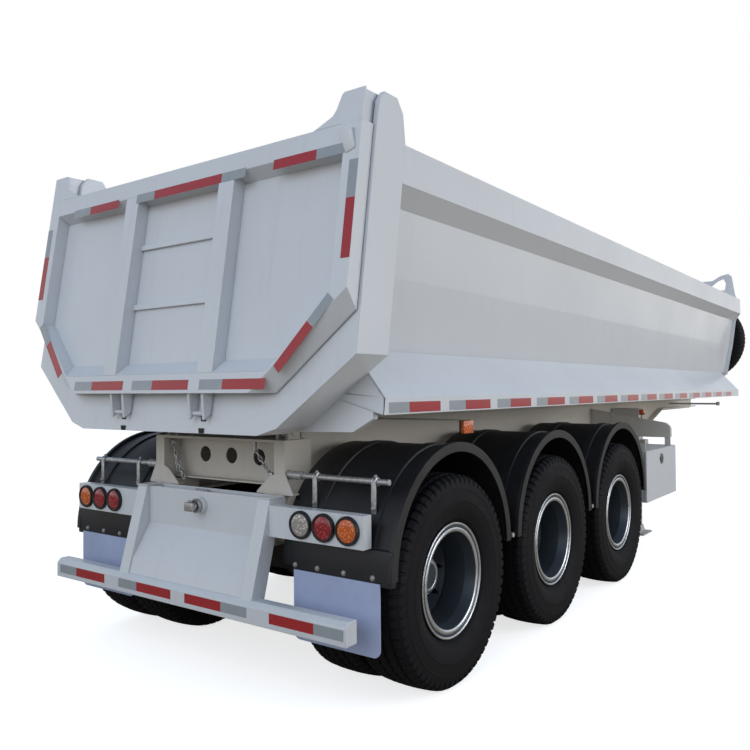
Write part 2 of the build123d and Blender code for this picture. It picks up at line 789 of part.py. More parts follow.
def rear_frame():
    """The raked ring behind the walls, a hollow box section, and the two hinge ears on top."""
    x0, x1 = frame_face_x - 500, frame_face_x + 500
    outer = cross_plate(mirrored(frame_outline()), x0, x1)
    opening = cross_plate(mirrored(wall_path()[::-1]), x0, x1)
    ring = (outer - opening) & raked_slab(0, frame_depth)
    core_points = [(half_width - plate, rail_top_z - plate), (half_width - plate, frame_side_z + 4),
                   (frame_corner_half - 3, frame_corner_z + plate), (frame_low_half, frame_low_z + plate)]
    core_outer = cross_plate(mirrored(core_points), x0, x1)
    path = [(y + 10, z - 6) for y, z in wall_path()[::-1]]
    core_opening = cross_plate(mirrored([(path[0][0], path[0][1] + 40)] + path[1:]), x0, x1)
    ring -= (core_outer - core_opening) & raked_slab(plate, frame_depth - plate)
    x_rear = raked_x(rail_top_z)
    front = x_rear + frame_depth
    cap = [(x_rear, rail_top_z), (raked_x(ear_top_z - 50, 4), ear_top_z - 50), (raked_x(ear_top_z, 34), ear_top_z),
           (front - 65, ear_top_z), (front - 18, ear_top_z - 62), (front, rail_top_z)]
    outer_y = half_width
    inner_y = horn_inner_y - ear_gap
    ear = side_plate(cap, outer_y - ear_plate, outer_y)
    ear += side_plate(cap, inner_y - ear_plate, inner_y)
    ear += side_plate([(front - 82, rail_top_z), (front - 82, ear_top_z), (front - 65, ear_top_z),
                       (front - 18, ear_top_z - 62), (front, rail_top_z)], inner_y, outer_y)
    ear += block(x_rear + 60, front, inner_y - ear_plate, outer_y, rail_top_z, rail_top_z + plate)
    pin = bar_y(gate_hinge_x, gate_hinge_z, gate_pin_diameter / 2, inner_y - ear_plate, outer_y)
    return ring + both(ear + pin)


def headboard_outline():
    spread = front_flange
    path = [(floor_half + 20, floor_low_z), (knee_half + spread, knee_z - 20), (waist_half + spread + 4, waist_z),
            (shoulder_half + spread, shoulder_z), (half_width, rail_low_z), (half_width, rail_top_z - 110),
            (half_width - 62, rail_top_z + 80), (half_width - 98, horn_top_z - 40),
            (half_width - 140, horn_top_z), (half_width - 230, horn_top_z - 18),
            (half_width - 340, headboard_z)]
    return path


def front_wall():
    """The front bulkhead: sheet, corner horns with their arched windows, and upright stiffeners."""
    outline = mirrored(headboard_outline()[::-1])
    sheet = cross_plate(outline, front_wall_x - wall, front_wall_x)
    window_z = rail_top_z + 140
    window = [(half_width - 350, window_z), (half_width - 185, window_z), (half_width - 170, window_z + 90),
              (half_width - 200, window_z + 150), (half_width - 270, window_z + 125), (half_width - 350, window_z + 60)]
    sheet -= both(cross_plate(window, front_wall_x - wall - 1, front_wall_x + 1))
    lip = both(block(front_wall_x, front_wall_x + 40, hoist_plate_y + hoist_plate_width, shoulder_half - 300,
                     headboard_z - 60, headboard_z))
    ribs = None
    for y in (-300, 300, 980):
        rib = block(front_wall_x, front_wall_x + 40, y - 35, y + 35, knee_z + 40, headboard_z - 60)
        ribs = rib if ribs is None else ribs + rib
    sill = block(front_wall_x, front_wall_x + 40, -floor_half, floor_half, floor_low_z, floor_low_z + 60)
    return sheet + lip + ribs + sill


def side_skirts():
    """A sloping closed fender along each side, with an upright lip."""
    outline = [(skirt_root_half, skirt_root_z - 10), (half_width, skirt_lip_low_z), (half_width, skirt_lip_top_z),
               (knee_half + 6, knee_z - 1), (skirt_root_half + 30, knee_z - 1)]
    solid = cross_plate(outline, skirt_rear_x, skirt_front_x)
    inner = [(skirt_root_half - 40, skirt_root_z + 14), (half_width - 6, skirt_lip_low_z + 8),
             (half_width - 6, skirt_lip_top_z - 3), (knee_half - 4, knee_z - 9), (skirt_root_half - 40, knee_z + 30)]
    solid -= cross_plate(inner, skirt_rear_x + 6, skirt_front_x - 6)
    inside_bed = [(0, frame_low_z)] + [(floor_half, floor_low_z - 1), (knee_half, knee_z), (knee_half, 2 * knee_z), (0, 2 * knee_z)]
    solid -= cross_plate(inside_bed, skirt_rear_x - 1, skirt_front_x + 1)
    frame_zone = raked_slab(-400, frame_depth)
    return both(solid - frame_zone)


def underframe():
    """The bed's two long bearers, cross bearers and the lugs of its hinge."""
    y0 = bed_hinge_y - underframe_width / 2
    y1 = bed_hinge_y + underframe_width / 2
    low = chassis_top_z + bed_rest_gap
    x0 = raked_x(low, frame_depth)
    rail = block(x0 - 20, front_wall_x - 60, y0, y1, low, floor_low_z)
    rail -= block(x0, front_wall_x - 66, y0 + 6, y1 - 6, low + 6, floor_low_z - 6)
    rail = rail & raked_slab(frame_depth, overall_length)
    a = bed_hinge_y - hinge_lug_width / 2
    b = bed_hinge_y + hinge_lug_width / 2
    web = side_plate([(bed_hinge_x - 110, low), (bed_hinge_x - hinge_lug_radius, bed_hinge_z),
                      (bed_hinge_x + hinge_lug_radius, bed_hinge_z), (bed_hinge_x + 90, low)], a, b)
    lug = web + bar_y(bed_hinge_x, bed_hinge_z, hinge_lug_radius, a, b)
    lug -= bar_y(bed_hinge_x, bed_hinge_z, hinge_pin_diameter / 2 + pin_clearance, a - 1, b + 1)
    total = both(rail + lug)
    first = bed_hinge_x + 300
    pitch = (front_wall_x - 400 - first) / (bearer_count - 1)
    for i in range(bearer_count):
        x = first + i * pitch
        total += block(x, x + bearer_width, -y0, y0, floor_low_z - bearer_height, floor_low_z)
        total += both(block(x, x + bearer_width, y1, floor_half, floor_low_z - bearer_height, floor_low_z))
    return total


def hoist_bracket():
    """Two cheeks on the bulkhead that reach over the hoist's eye."""
    y0 = hoist_plate_y
    top = hoist_eye_z + 50
    cheek = [(front_wall_x, 2480), (front_wall_x, top), (hoist_x + 40, top), (hoist_x + 60, hoist_eye_z),
             (hoist_x + 40, hoist_eye_z - 45), (hoist_x - 150, hoist_eye_z - 60)]
    plate_one = side_plate(cheek, y0, y0 + hoist_plate_width)
    tie = block(front_wall_x, hoist_x - 200, -y0, y0, top - 10, top)
    return both(plate_one) + tie


# --- spare wheel ---

def spare_parts():
    centre_x = front_wall_x + 40 + spare_gap + tyre_width / 2
    turn = Pos(centre_x, spare_y, spare_z) * Rot(0, 0, -90)
    spare_tyre = turn * tyre(0)
    spare_rim = turn * rim(0, -1)
    hub_x = centre_x - dual_spacing / 2 + rim_wall + 4
    return spare_tyre, spare_rim, hub_x, centre_x


def spare_carrier(plane_x, centre_x):
    """Plate and posts that hold the spare by its disc."""
    r = stud_circle_diameter / 2 + 20
    hub = bar_x(spare_y, spare_z, r, front_wall_x, centre_x - dual_spacing / 2)
    return hub


# --- tailgate ---

def gate_outline():
    return [(gate_half, gate_top_z), (gate_half, gate_side_z), (gate_half - 70, gate_side_z - 110),
            (gate_low_half + 30, gate_low_z + 18), (gate_low_half - 30, gate_low_z)]


def gate_pocket():
    e = gate_edge
    return [(gate_half - e, gate_pocket_top_z), (gate_half - e, gate_side_z + 20),
            (gate_half - e - 60, gate_side_z - 80), (gate_low_half - 8, gate_pocket_low_z)]


def gate_span(offset_rear, offset_front):
    return raked_slab(-gate_gap - gate_thickness + offset_rear, -gate_gap - offset_front)


def tailgate_panel():
    x0, x1 = frame_face_x - 500, frame_face_x + 200
    sheet = cross_plate(mirrored(gate_outline()), x0, x1)
    return sheet & gate_span(gate_thickness - gate_panel, 0)


def tailgate_frame():
    """Ring, two uprights, two rungs and a sloping ledge on the rear of the panel."""
    x0, x1 = frame_face_x - 500, frame_face_x + 200
    grid = closed_face(mirrored(gate_outline()), x0) - closed_face(mirrored(gate_pocket()), x0)
    height = gate_pocket_top_z - gate_pocket_low_z + 4
    post = Plane((x0, 0, gate_pocket_low_z + height / 2 - 2), x_dir=(0, 1, 0), z_dir=(1, 0, 0))
    grid += post * Locations((-gate_post_y, 0), (gate_post_y, 0)) * Rectangle(gate_post_width, height)
    hollow = offset(grid, amount=-gate_skin, kind=Kind.INTERSECTION)
    body = extrude(grid, amount=x1 - x0, dir=(1, 0, 0)) & gate_span(0, gate_panel)
    body -= extrude(hollow, amount=x1 - x0, dir=(1, 0, 0)) & gate_span(gate_skin, gate_panel + gate_skin)
    inner = gate_post_y - gate_post_width / 2
    for z in gate_rung_z:
        body += block(x0, x1, -inner, inner, z, z + gate_rung_height) & gate_span(30, gate_panel)
    ledge_y = gate_post_y - gate_post_width / 2
    rear = raked_x(gate_pocket_low_z, -gate_gap - gate_thickness)
    front = raked_x(gate_ledge_z, -gate_gap - gate_panel)
    ledge = side_plate([(rear, gate_pocket_low_z), (front, gate_ledge_z), (front - 10, gate_pocket_low_z)],
                       -ledge_y, ledge_y)
    body += ledge & gate_span(0, gate_panel)
    horn = side_plate([(raked_x(2740, -gate_gap - gate_thickness), 2740),
                       (raked_x(2905, -gate_gap - gate_thickness) + 6, 2905), (gate_hinge_x, 2908),
                       (gate_hinge_x + 43, gate_hinge_z), (gate_hinge_x, gate_hinge_z - 43),
                       (raked_x(2770, -gate_gap), 2770)], horn_inner_y, horn_outer_y)
    horn -= bar_y(gate_hinge_x, gate_hinge_z, gate_pin_diameter / 2 + pin_clearance, horn_inner_y - 1, horn_outer_y + 1)
    fillet = cross_plate([(horn_inner_y - 150, gate_top_z - 20), (horn_inner_y - 150, gate_top_z),
                          (horn_inner_y - 60, gate_top_z + 16), (horn_inner_y, gate_top_z + 60),
                          (horn_inner_y + 10, gate_top_z + 60), (horn_inner_y + 10, gate_top_z - 20)], x0, x1)
    body += both(horn + (fillet & gate_span(0, gate_panel)))
    return body - tailgate_panel()


def tailgate_latches():
    """Two claws under the gate's foot, which drop into slots in the frame."""
    total = None
    for y in (latch_y - latch_half, latch_y + latch_half - latch_plate):
        x_rear = raked_x(gate_low_z, -gate_gap - gate_thickness + 15)
        claw = side_plate([(x_rear, gate_low_z), (x_rear + 62, gate_low_z), (x_rear + 52, gate_low_z - 100),
                           (x_rear + 10, gate_low_z - 130)], y, y + latch_plate)
        total = claw if total is None else total + claw
    rod_x = raked_x(gate_low_z, -gate_gap - gate_thickness + 45)
    total += bar_y(rod_x, gate_low_z - 100, 11, latch_y - latch_half, latch_y + latch_half)
    return both(total)


# --- hoist ---

def hoist_stages():
    """The telescopic hoist, closed: its barrel on trunnions, five nested tubes, the last with an eye."""
    made = {}
    count = len(hoist_radii)
    for i, radius in enumerate(hoist_radii):
        low = hoist_low_z + (10 * i + 12 if i else 0)
        top = hoist_top_z + i * hoist_step
        if i == count - 1:
            top = hoist_eye_z - hoist_eye_radius + 6
        tube = bar_z(hoist_x, 0, radius, low, top)
        if i < count - 1:
            inner = radius - hoist_wall
            floor = low + 10 if i == 0 else low - 1
            tube -= bar_z(hoist_x, 0, inner, floor, top - 30)
            tube -= bar_z(hoist_x, 0, hoist_radii[i + 1] + pin_clearance, top - 31, top + 1)
        if i == 0:
            tube += both(bar_y(hoist_x, hoist_base_z, 30, radius - 10, radius + 44))
            name = "hoist_barrel"
        else:
            name = f"hoist_stage_{i}"
        if i == count - 1:
            tube += bar_y(hoist_x, hoist_eye_z, hoist_eye_radius, -40, 40)
            tube += bar_y(hoist_x, hoist_eye_z, 20, -56, 56)
        made[name] = tube
    return made


def build():
    spare_tyre, spare_rim, spare_plane, spare_centre = spare_parts()
    side = bed_side()
    parts = {
        "main_beams": main_beams(),
        "cross_members": cross_members(),
        "skid_plate": skid_plate(),
        "landing_legs": landing_legs(),
        "leg_shaft": leg_shaft(),
        "spring_hangers": spring_hangers(),
        "leaf_springs": leaf_springs(),
        "axles": axles(),
        "air_tanks": air_tanks(),
        "tail_beam": tail_beam(),
        "hoist_cradle": hoist_cradle(),
        "mudguards": mudguards(),
        "guard_stays": guard_stays(),
        "mudflaps": mudflaps(),
        "bumper_frame": bumper_frame(),
        "bumper_beam": bumper_beam(),
        "lamp_bars": lamp_bars(),
        "lamps": lamps(),
        "side_markers": side_markers(),
        "tool_box": tool_box(),
        "tool_box_door": tool_box_door(),
        "bed_floor": bed_floor(),
        "bed_side_left": side,
        "bed_side_right": mirror(side, Plane.XZ),
        "front_wall": front_wall(),
        "top_rails": top_rails(),
        "rear_frame": rear_frame(),
        "side_skirts": side_skirts(),
        "underframe": underframe(),
        "hoist_bracket": hoist_bracket(),
        "spare_tyre": spare_tyre,
        "spare_rim": spare_rim,
        "spare_carrier": spare_carrier(spare_plane, spare_centre),
        "tailgate_panel": tailgate_panel(),
        "tailgate_frame": tailgate_frame(),
        "tailgate_latches": tailgate_latches(),
    }
    parts.update(wheels())
    parts.update(hoist_stages())
    return parts


os.makedirs("parts", exist_ok=True)
for name, shape in build().items():
    export_step(shape, f"parts/{name}.step")
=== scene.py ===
import json
import math
import random

import bmesh
import bpy
from mathutils import Matrix, Vector

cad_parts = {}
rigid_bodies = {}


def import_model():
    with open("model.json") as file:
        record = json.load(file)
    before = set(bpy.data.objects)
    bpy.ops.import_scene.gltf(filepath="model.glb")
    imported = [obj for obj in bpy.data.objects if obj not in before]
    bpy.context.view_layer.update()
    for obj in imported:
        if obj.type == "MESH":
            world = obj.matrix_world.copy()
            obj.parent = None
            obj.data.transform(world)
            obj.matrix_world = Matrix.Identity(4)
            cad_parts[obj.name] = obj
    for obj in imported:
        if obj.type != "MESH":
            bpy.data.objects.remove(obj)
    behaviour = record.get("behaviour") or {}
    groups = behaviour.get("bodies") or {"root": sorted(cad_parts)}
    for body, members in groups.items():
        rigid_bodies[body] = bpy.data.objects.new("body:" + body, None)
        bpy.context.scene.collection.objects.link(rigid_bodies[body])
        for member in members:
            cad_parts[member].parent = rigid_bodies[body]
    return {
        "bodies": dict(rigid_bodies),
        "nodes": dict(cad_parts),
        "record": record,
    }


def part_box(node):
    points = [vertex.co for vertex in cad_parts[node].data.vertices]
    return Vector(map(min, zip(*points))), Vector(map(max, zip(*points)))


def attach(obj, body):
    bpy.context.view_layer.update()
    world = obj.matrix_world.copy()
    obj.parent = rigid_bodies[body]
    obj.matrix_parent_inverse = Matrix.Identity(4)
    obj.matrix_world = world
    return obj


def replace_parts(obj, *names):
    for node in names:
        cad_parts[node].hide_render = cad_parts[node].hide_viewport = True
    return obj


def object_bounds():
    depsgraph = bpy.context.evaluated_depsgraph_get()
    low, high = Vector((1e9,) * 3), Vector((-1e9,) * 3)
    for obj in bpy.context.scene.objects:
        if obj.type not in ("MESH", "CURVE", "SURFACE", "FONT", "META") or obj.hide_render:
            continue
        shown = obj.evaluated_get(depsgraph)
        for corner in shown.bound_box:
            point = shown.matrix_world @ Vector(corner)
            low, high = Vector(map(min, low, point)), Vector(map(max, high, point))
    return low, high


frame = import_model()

cadLow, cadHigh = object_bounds()
scene = bpy.context.scene
scene.view_settings.view_transform = "Standard"
nodes = frame["nodes"]
print("frame loaded:", len(nodes), "nodes")


# what a user would change is in one dictionary for each piece, whose values are also read as attributes
class Values(dict):
    __getattr__ = dict.__getitem__


# camera behind the right rear corner, at eye height: degrees, and millimetres of lens and film
cameraPlan = Values(
    place=(-6.990, -3.223, 1.554), heading=36.27, tilt=1.09, roll=-0.40, lens=36.06, film=36.0,
    farthest=200.0)


def placeCamera(plan):
    heading, tilt, roll = (math.radians(plan[key]) for key in ("heading", "tilt", "roll"))
    ahead = Vector((math.cos(heading) * math.cos(tilt), math.sin(heading) * math.cos(tilt), math.sin(tilt)))
    flatRight = Vector((math.sin(heading), -math.cos(heading), 0.0))
    flatUp = flatRight.cross(ahead)
    right = flatRight * math.cos(roll) + flatUp * math.sin(roll)
    up = flatUp * math.cos(roll) - flatRight * math.sin(roll)
    turn = Matrix((right, up, -ahead)).transposed()
    data = bpy.data.cameras.new("rearQuarterCamera")
    data.lens = plan.lens
    data.sensor_width = plan.film
    data.clip_end = plan.farthest
    camera = bpy.data.objects.new("rearQuarterCamera", data)
    camera.matrix_world = Matrix.Translation(plan.place) @ turn.to_4x4()
    scene.collection.objects.link(camera)
    scene.camera = camera


placeCamera(cameraPlan)


def wired(tree, kind, sockets=None, **settings):
    # one shader node; each socket takes a value, or a link when it is given another node's output
    node = tree.nodes.new("ShaderNode" + kind)
    for key, value in settings.items():
        setattr(node, key, value)
    for key, value in (sockets or {}).items():
        socket = node.inputs[key]
        if isinstance(value, bpy.types.NodeSocket):
            tree.links.new(value, socket)
        else:
            socket.default_value = (*value, 1) if socket.type == "RGBA" else value
    return node


# soft daylight: white at the horizon and blue overhead, with one wide low lamp from the right and one behind
# lamps hold their place, size, power and colour
lightPlan = Values(
    horizon=(1.0, 0.985, 0.97), horizonLevel=0.98, zenith=(0.62, 0.78, 1.0), zenithLevel=0.52, blend=0.55,
    aim=(0, 0, 1.4),
    lamps={"sunSide": ((2.0, -13.0, 4.5), 7.0, 640.0, (1.0, 0.97, 0.93)),
           "rearFill": ((-13.0, -1.5, 6.0), 7.0, 260.0, (0.92, 0.96, 1.0))})


def areaLamp(name, place, size, power, colour):
    data = bpy.data.lights.new(name, "AREA")
    data.size = size
    data.energy = power
    data.color = colour
    lamp = bpy.data.objects.new(name, data)
    lamp.location = place
    lamp.rotation_euler = (Vector(lightPlan.aim) - Vector(place)).to_track_quat("-Z", "Y").to_euler()
    scene.collection.objects.link(lamp)


def lightTheYard(plan):
    for name, values in plan.lamps.items():
        areaLamp(name, *values)
    world = bpy.data.worlds.new("openSky")
    scene.world = world
    world.use_nodes = True
    tree = world.node_tree
    tree.nodes.clear()
    place = wired(tree, "TexCoord").outputs["Generated"]
    height = wired(tree, "SeparateXYZ", {0: place}).outputs["Z"]
    rise = wired(tree, "MapRange", {"Value": height, "From Max": plan.blend}, interpolation_type="SMOOTHSTEP")
    low, high = (tuple(c * plan[key + "Level"] for c in plan[key]) for key in ("horizon", "zenith"))
    shade = wired(tree, "Mix", {"Factor": rise.outputs[0], 6: low, 7: high}, data_type="RGBA")
    sky = wired(tree, "Background", {"Color": shade.outputs[2]})
    white = wired(tree, "Background", {"Color": (1, 1, 1)})
    seen = wired(tree, "LightPath").outputs["Is Camera Ray"]
    both = wired(tree, "MixShader", {0: seen, 1: sky.outputs[0], 2: white.outputs[0]})
    wired(tree, "OutputWorld", {0: both.outputs[0]})


lightTheYard(lightPlan)


# one material: a principled shader with its tree, filled in by the finish functions below
class Finish:
    def __init__(self, name, roughness=0.5, metallic=0.0, coat=0.0, specular=0.5):
        self.material = bpy.data.materials.new(name)
        self.material.use_nodes = True
        self.tree = self.material.node_tree
        self.shader = self.tree.nodes["Principled BSDF"]
        for key, value in (("Roughness", roughness), ("Metallic", metallic), ("Coat Weight", coat),
                           ("Coat Roughness", 0.12), ("Specular IOR Level", specular)):
            self.shader.inputs[key].default_value = value
        self.place = self.node("TexCoord").outputs["Object"]
        self.normal = None

    def node(self, kind, sockets=None, **settings):
        return wired(self.tree, kind, sockets, **settings)

    def stretched(self, scale):
        return self.node("Mapping", {"Vector": self.place, "Scale": scale}).outputs[0]

    def noise(self, scale, detail=3.0, rough=0.55, where=None):
        return self.node("TexNoise", {"Vector": where or self.place, "Scale": scale, "Detail": detail,
                                      "Roughness": rough}).outputs[0]

    def cells(self, scale, feature="F1", output="Distance"):
        made = self.node("TexVoronoi", {"Vector": self.place, "Scale": scale}, feature=feature)
        return made.outputs[output]

    def band(self, value, low, high, toLow=0.0, toHigh=1.0):
        return self.node("MapRange", {"Value": value, "From Min": low, "From Max": high, "To Min": toLow,
                                      "To Max": toHigh}).outputs[0]

    def patches(self, cloud, toLow=0.0, toHigh=1.0):
        return self.band(cloud, 0.3, 0.7, toLow, toHigh)

    def times(self, a, b):
        return self.node("Math", {0: a, 1: b}, operation="MULTIPLY").outputs[0]

    def most(self, a, b):
        return self.node("Math", {0: a, 1: b}, operation="MAXIMUM").outputs[0]

    def blendColour(self, amount, first, second):
        return self.node("Mix", {"Factor": amount, 6: first, 7: second}, data_type="RGBA").outputs[2]

    # mask from ambient occlusion, strongest in corners and creases where shade falls; a colour darkened by it
    # is painted shade
    def corners(self, distance):
        shade = self.node("AmbientOcclusion", {"Distance": distance}, samples=6)
        return self.band(shade.outputs["AO"], 0.35, 0.95, 1.0, 0.0)

    def roundEdges(self, radius):
        self.normal = self.node("Bevel", {"Radius": radius}, samples=4).outputs[0]

    def bump(self, height, strength, depth):
        sockets = {"Height": height, "Strength": strength, "Distance": depth}
        if self.normal is not None:
            sockets["Normal"] = self.normal
        self.normal = self.node("Bump", sockets).outputs[0]

    def finish(self, colour, roughness=None):
        for key, output in (("Base Color", colour), ("Roughness", roughness), ("Normal", self.normal)):
            if output is not None:
                self.tree.links.new(output, self.shader.inputs[key])
        return self.material


# paint on sheet steel: soft waves in the sheet, orange peel, painted shade darkening its corners, and faint
# runs of grime
paintLook = Values(
    edge=0.003, corner=0.035, cloudScale=1.1, cloudShade=0.94, waveScale=2.2, waveDepth=0.007,
    peelScale=420.0, peelDepth=0.0004, runScale=(5.0, 5.0, 0.35), chipScale=31.0,
    rust=(0.17, 0.075, 0.035))


def paintedSteel(name, colour, grime, grimeAndShadeAmount=0.35, gloss=0.34, coat=0.25, rust=0.0):
    look = paintLook
    f = Finish(name, gloss, 0.0, coat)
    cloud = f.noise(look.cloudScale, 4.0)
    shade = f.blendColour(f.patches(cloud), colour, tuple(c * look.cloudShade for c in colour))
    runs = f.times(f.band(f.noise(3.0, 5.0, where=f.stretched(look.runScale)), 0.56, 0.78), grimeAndShadeAmount * 0.5)
    # the corner part is painted shade from ambient occlusion, and the runs are grime
    dirtAndShade = f.most(f.times(f.corners(look.corner), grimeAndShadeAmount), runs)
    dirtAndShade = f.times(dirtAndShade, f.band(f.noise(14.0, 6.0, 0.65), 0.25, 0.7, 0.35, 1.0))
    painted = f.blendColour(dirtAndShade, shade, grime)
    if rust:
        spots = f.band(f.noise(look.chipScale, 8.0, 0.7), 0.73 - 0.07 * rust, 0.76 - 0.05 * rust)
        painted = f.blendColour(f.times(spots, 0.8), painted, look.rust)
    f.roundEdges(look.edge)
    f.bump(f.noise(look.waveScale, 1.5), 0.35, look.waveDepth)
    f.bump(f.noise(look.peelScale, 1.0), 0.05, look.peelDepth)
    return f.finish(painted, f.patches(cloud, gloss - 0.05, gloss + 0.1))


# black and blue plastic sheet, with a fine grain and dust on it
mouldLook = Values(edge=0.003, cloudScale=3.0, grainDepth=0.0006)


def moulded(name, colour, dust, roughness, dustAmount, grain=260.0):
    f = Finish(name, roughness)
    cloud = f.noise(mouldLook.cloudScale, 6.0, 0.65)
    powder = f.times(f.band(cloud, 0.35, 0.8), dustAmount)
    f.roundEdges(mouldLook.edge)
    f.bump(f.noise(grain, 2.0), 0.12, mouldLook.grainDepth)
    return f.finish(f.blendColour(powder, colour, dust), f.patches(cloud, roughness - 0.08, roughness + 0.12))


# matt rubber, with dust in patches and in the grooves
rubberLook = Values(
    colour=(0.0052, 0.0054, 0.0078), dust=(0.036, 0.034, 0.034), dustAmount=0.16, grooveDust=0.10,
    groove=0.02, cloudScale=5.0, grainScale=180.0, grainDepth=0.0006)


def tyreRubber(name):
    look = rubberLook
    f = Finish(name, 0.85, specular=0.18)
    cloud = f.noise(look.cloudScale, 6.0, 0.65)
    dust = f.times(f.band(cloud, 0.42, 0.85), look.dustAmount)
    dust = f.most(dust, f.times(f.corners(look.groove), look.grooveDust))
    f.bump(f.noise(look.grainScale, 3.0, 0.6), 0.25, look.grainDepth)
    return f.finish(f.blendColour(dust, look.colour, look.dust), f.patches(cloud, 0.58, 0.80))


# smooth metal or metallic paint, with a corner colour from ambient occlusion (painted shade where it is
# darker, dust where it is lighter) and patches of grime
silverLook = Values(edge=0.0025, corner=0.05, cloudScale=9.0, grainScale=300.0, grainDepth=0.0004)


def silveredSteel(name, colour, roughness, metallic, grime, amount):
    look = silverLook
    f = Finish(name, roughness, metallic)
    cloud = f.noise(look.cloudScale, 5.0, 0.6)
    # the corner part comes from ambient occlusion: painted shade where the blended colour is darker, dust
    # where it is lighter
    dirtAndShade = f.most(f.times(f.corners(look.corner), amount), f.times(f.band(cloud, 0.5, 0.8), amount * 0.45))
    f.roundEdges(look.edge)
    f.bump(f.noise(look.grainScale, 2.0), 0.08, look.grainDepth)
    return f.finish(f.blendColour(dirtAndShade, colour, grime), f.patches(cloud, roughness - 0.06, roughness + 0.16))


# zinc with its crystal pattern, and painted shade darkening its corners
zincLook = Values(
    spangleScale=70.0, dark=(0.42, 0.43, 0.44), bright=(0.62, 0.63, 0.64), grime=(0.12, 0.11, 0.10),
    corner=0.04, edge=0.002, grainDepth=0.0004)


def zincedSteel(name):
    look = zincLook
    f = Finish(name, 0.42, 0.85)
    spangle = f.cells(look.spangleScale, output="Color")
    grey = f.blendColour(f.band(spangle, 0.1, 0.9), look.dark, look.bright)
    # darker in corners from ambient occlusion: painted shade
    grey = f.blendColour(f.times(f.corners(look.corner), 0.5), grey, look.grime)
    f.roundEdges(look.edge)
    f.bump(f.noise(240.0, 2.0), 0.1, look.grainDepth)
    return f.finish(grey, f.patches(f.noise(30.0, 4.0), 0.34, 0.56))


# tape with a fine honeycomb, and lenses with a field of small prisms
sheetLook = Values(combScale=150.0, combDepth=0.0006, tapeShade=0.72, dotScale=78.0, dotDepth=0.0015)


def reflectiveTape(name, colour, line):
    f = Finish(name, 0.28, coat=0.4)
    comb = f.cells(sheetLook.combScale, "DISTANCE_TO_EDGE")
    web = f.band(comb, 0.03, 0.10, 1.0, 0.0)
    cloud = f.times(f.band(f.noise(18.0, 5.0, 0.6), 0.45, 0.8), 0.35)
    shade = f.blendColour(cloud, colour, tuple(c * sheetLook.tapeShade for c in colour))
    f.bump(comb, 0.2, sheetLook.combDepth)
    return f.finish(f.blendColour(f.times(web, 0.45), shade, line))


def lampLens(name, colour, bright):
    f = Finish(name, 0.12, coat=0.6)
    dots = f.cells(sheetLook.dotScale)
    f.bump(dots, 0.5, sheetLook.dotDepth)
    return f.finish(f.blendColour(f.band(dots, 0.10, 0.42, 1.0, 0.0), colour, bright))


paints = {
    "white_paint": paintedSteel("whiteBodyPaint", (0.66, 0.70, 0.755), (0.25, 0.23, 0.21), 0.22, rust=0.2),
    "chassis_paint": paintedSteel("chassisPaint", (0.62, 0.60, 0.56), (0.19, 0.15, 0.11), 0.45, 0.5, 0.0,
                                  0.6),
    "leg_paint": paintedSteel("legPaint", (0.52, 0.52, 0.52), (0.14, 0.12, 0.10), 0.6, 0.5, 0.0, 0.8),
    "bed_steel": paintedSteel("bedFloorPaint", (0.52, 0.53, 0.55), (0.17, 0.13, 0.10), 0.8, 0.5, 0.0, 1.0),
    "black_plastic": moulded("archPlastic", (0.0085, 0.0092, 0.0125), (0.055, 0.056, 0.060), 0.42, 0.20),
    "flap_sheet": moulded("flapSheet", (0.40, 0.48, 0.72), (0.22, 0.21, 0.22), 0.5, 0.30, 90.0),
    "tyre_rubber": tyreRubber("tyreRubber"),
    # the rims' silver is painted dark navy as painted shade of the deep barrels and disc; the rim rings keep
    # the bright silver
    "rim_silver": silveredSteel("rimSilverPaintedShade", (0.060, 0.075, 0.095), 0.36, 0.45, (0.03, 0.03, 0.032), 0.5),
    "galvanised": zincedSteel("galvanisedSteel"),
    "dark_steel": silveredSteel("axlePaint", (0.035, 0.035, 0.038), 0.55, 0.2, (0.16, 0.13, 0.10), 0.5),
    "tank_paint": silveredSteel("tankPaint", (0.03, 0.03, 0.033), 0.4, 0.1, (0.14, 0.12, 0.10), 0.4),
    "hoist_paint": silveredSteel("hoistBarrelPaint", (0.055, 0.056, 0.06), 0.4, 0.1, (0.16, 0.14, 0.12), 0.4),
    "hoist_chrome": silveredSteel("hoistChrome", (0.62, 0.63, 0.65), 0.16, 1.0, (0.2, 0.18, 0.15), 0.25),
    "lamp_red": lampLens("redLens", (0.25, 0.010, 0.018), (0.66, 0.09, 0.11)),
    "lamp_amber": lampLens("amberLens", (0.55, 0.10, 0.02), (0.95, 0.38, 0.12)),
}
clearLens = lampLens("clearLens", (0.32, 0.30, 0.285), (0.88, 0.86, 0.82))
tapes = {"red": reflectiveTape("redTape", (0.36, 0.010, 0.018), (0.50, 0.05, 0.06)),
         "silver": reflectiveTape("silverTape", (0.30, 0.34, 0.38), (0.40, 0.44, 0.48))}
boltSteel = silveredSteel("boltSteel", (0.48, 0.48, 0.48), 0.35, 0.8, (0.14, 0.11, 0.08), 0.4)
rimBright = silveredSteel("rimLip", (0.66, 0.69, 0.73), 0.26, 0.85, (0.10, 0.10, 0.10), 0.35)
latchBlack = silveredSteel("latchBlack", (0.020, 0.020, 0.022), 0.4, 0.2, (0.10, 0.09, 0.08), 0.2)
print("finishes made:", len(paints) + len(tapes) + 4)


def dressFrame():
    slotOf = {s["node"]: s["material_slot"] for s in frame["record"]["subparts"]}
    for name, node in nodes.items():
        finish = paints[slotOf[name]]
        if not node.material_slots:
            node.data.materials.append(finish)
        for holder in node.material_slots:
            holder.material = finish


dressFrame()
print("frame dressed")


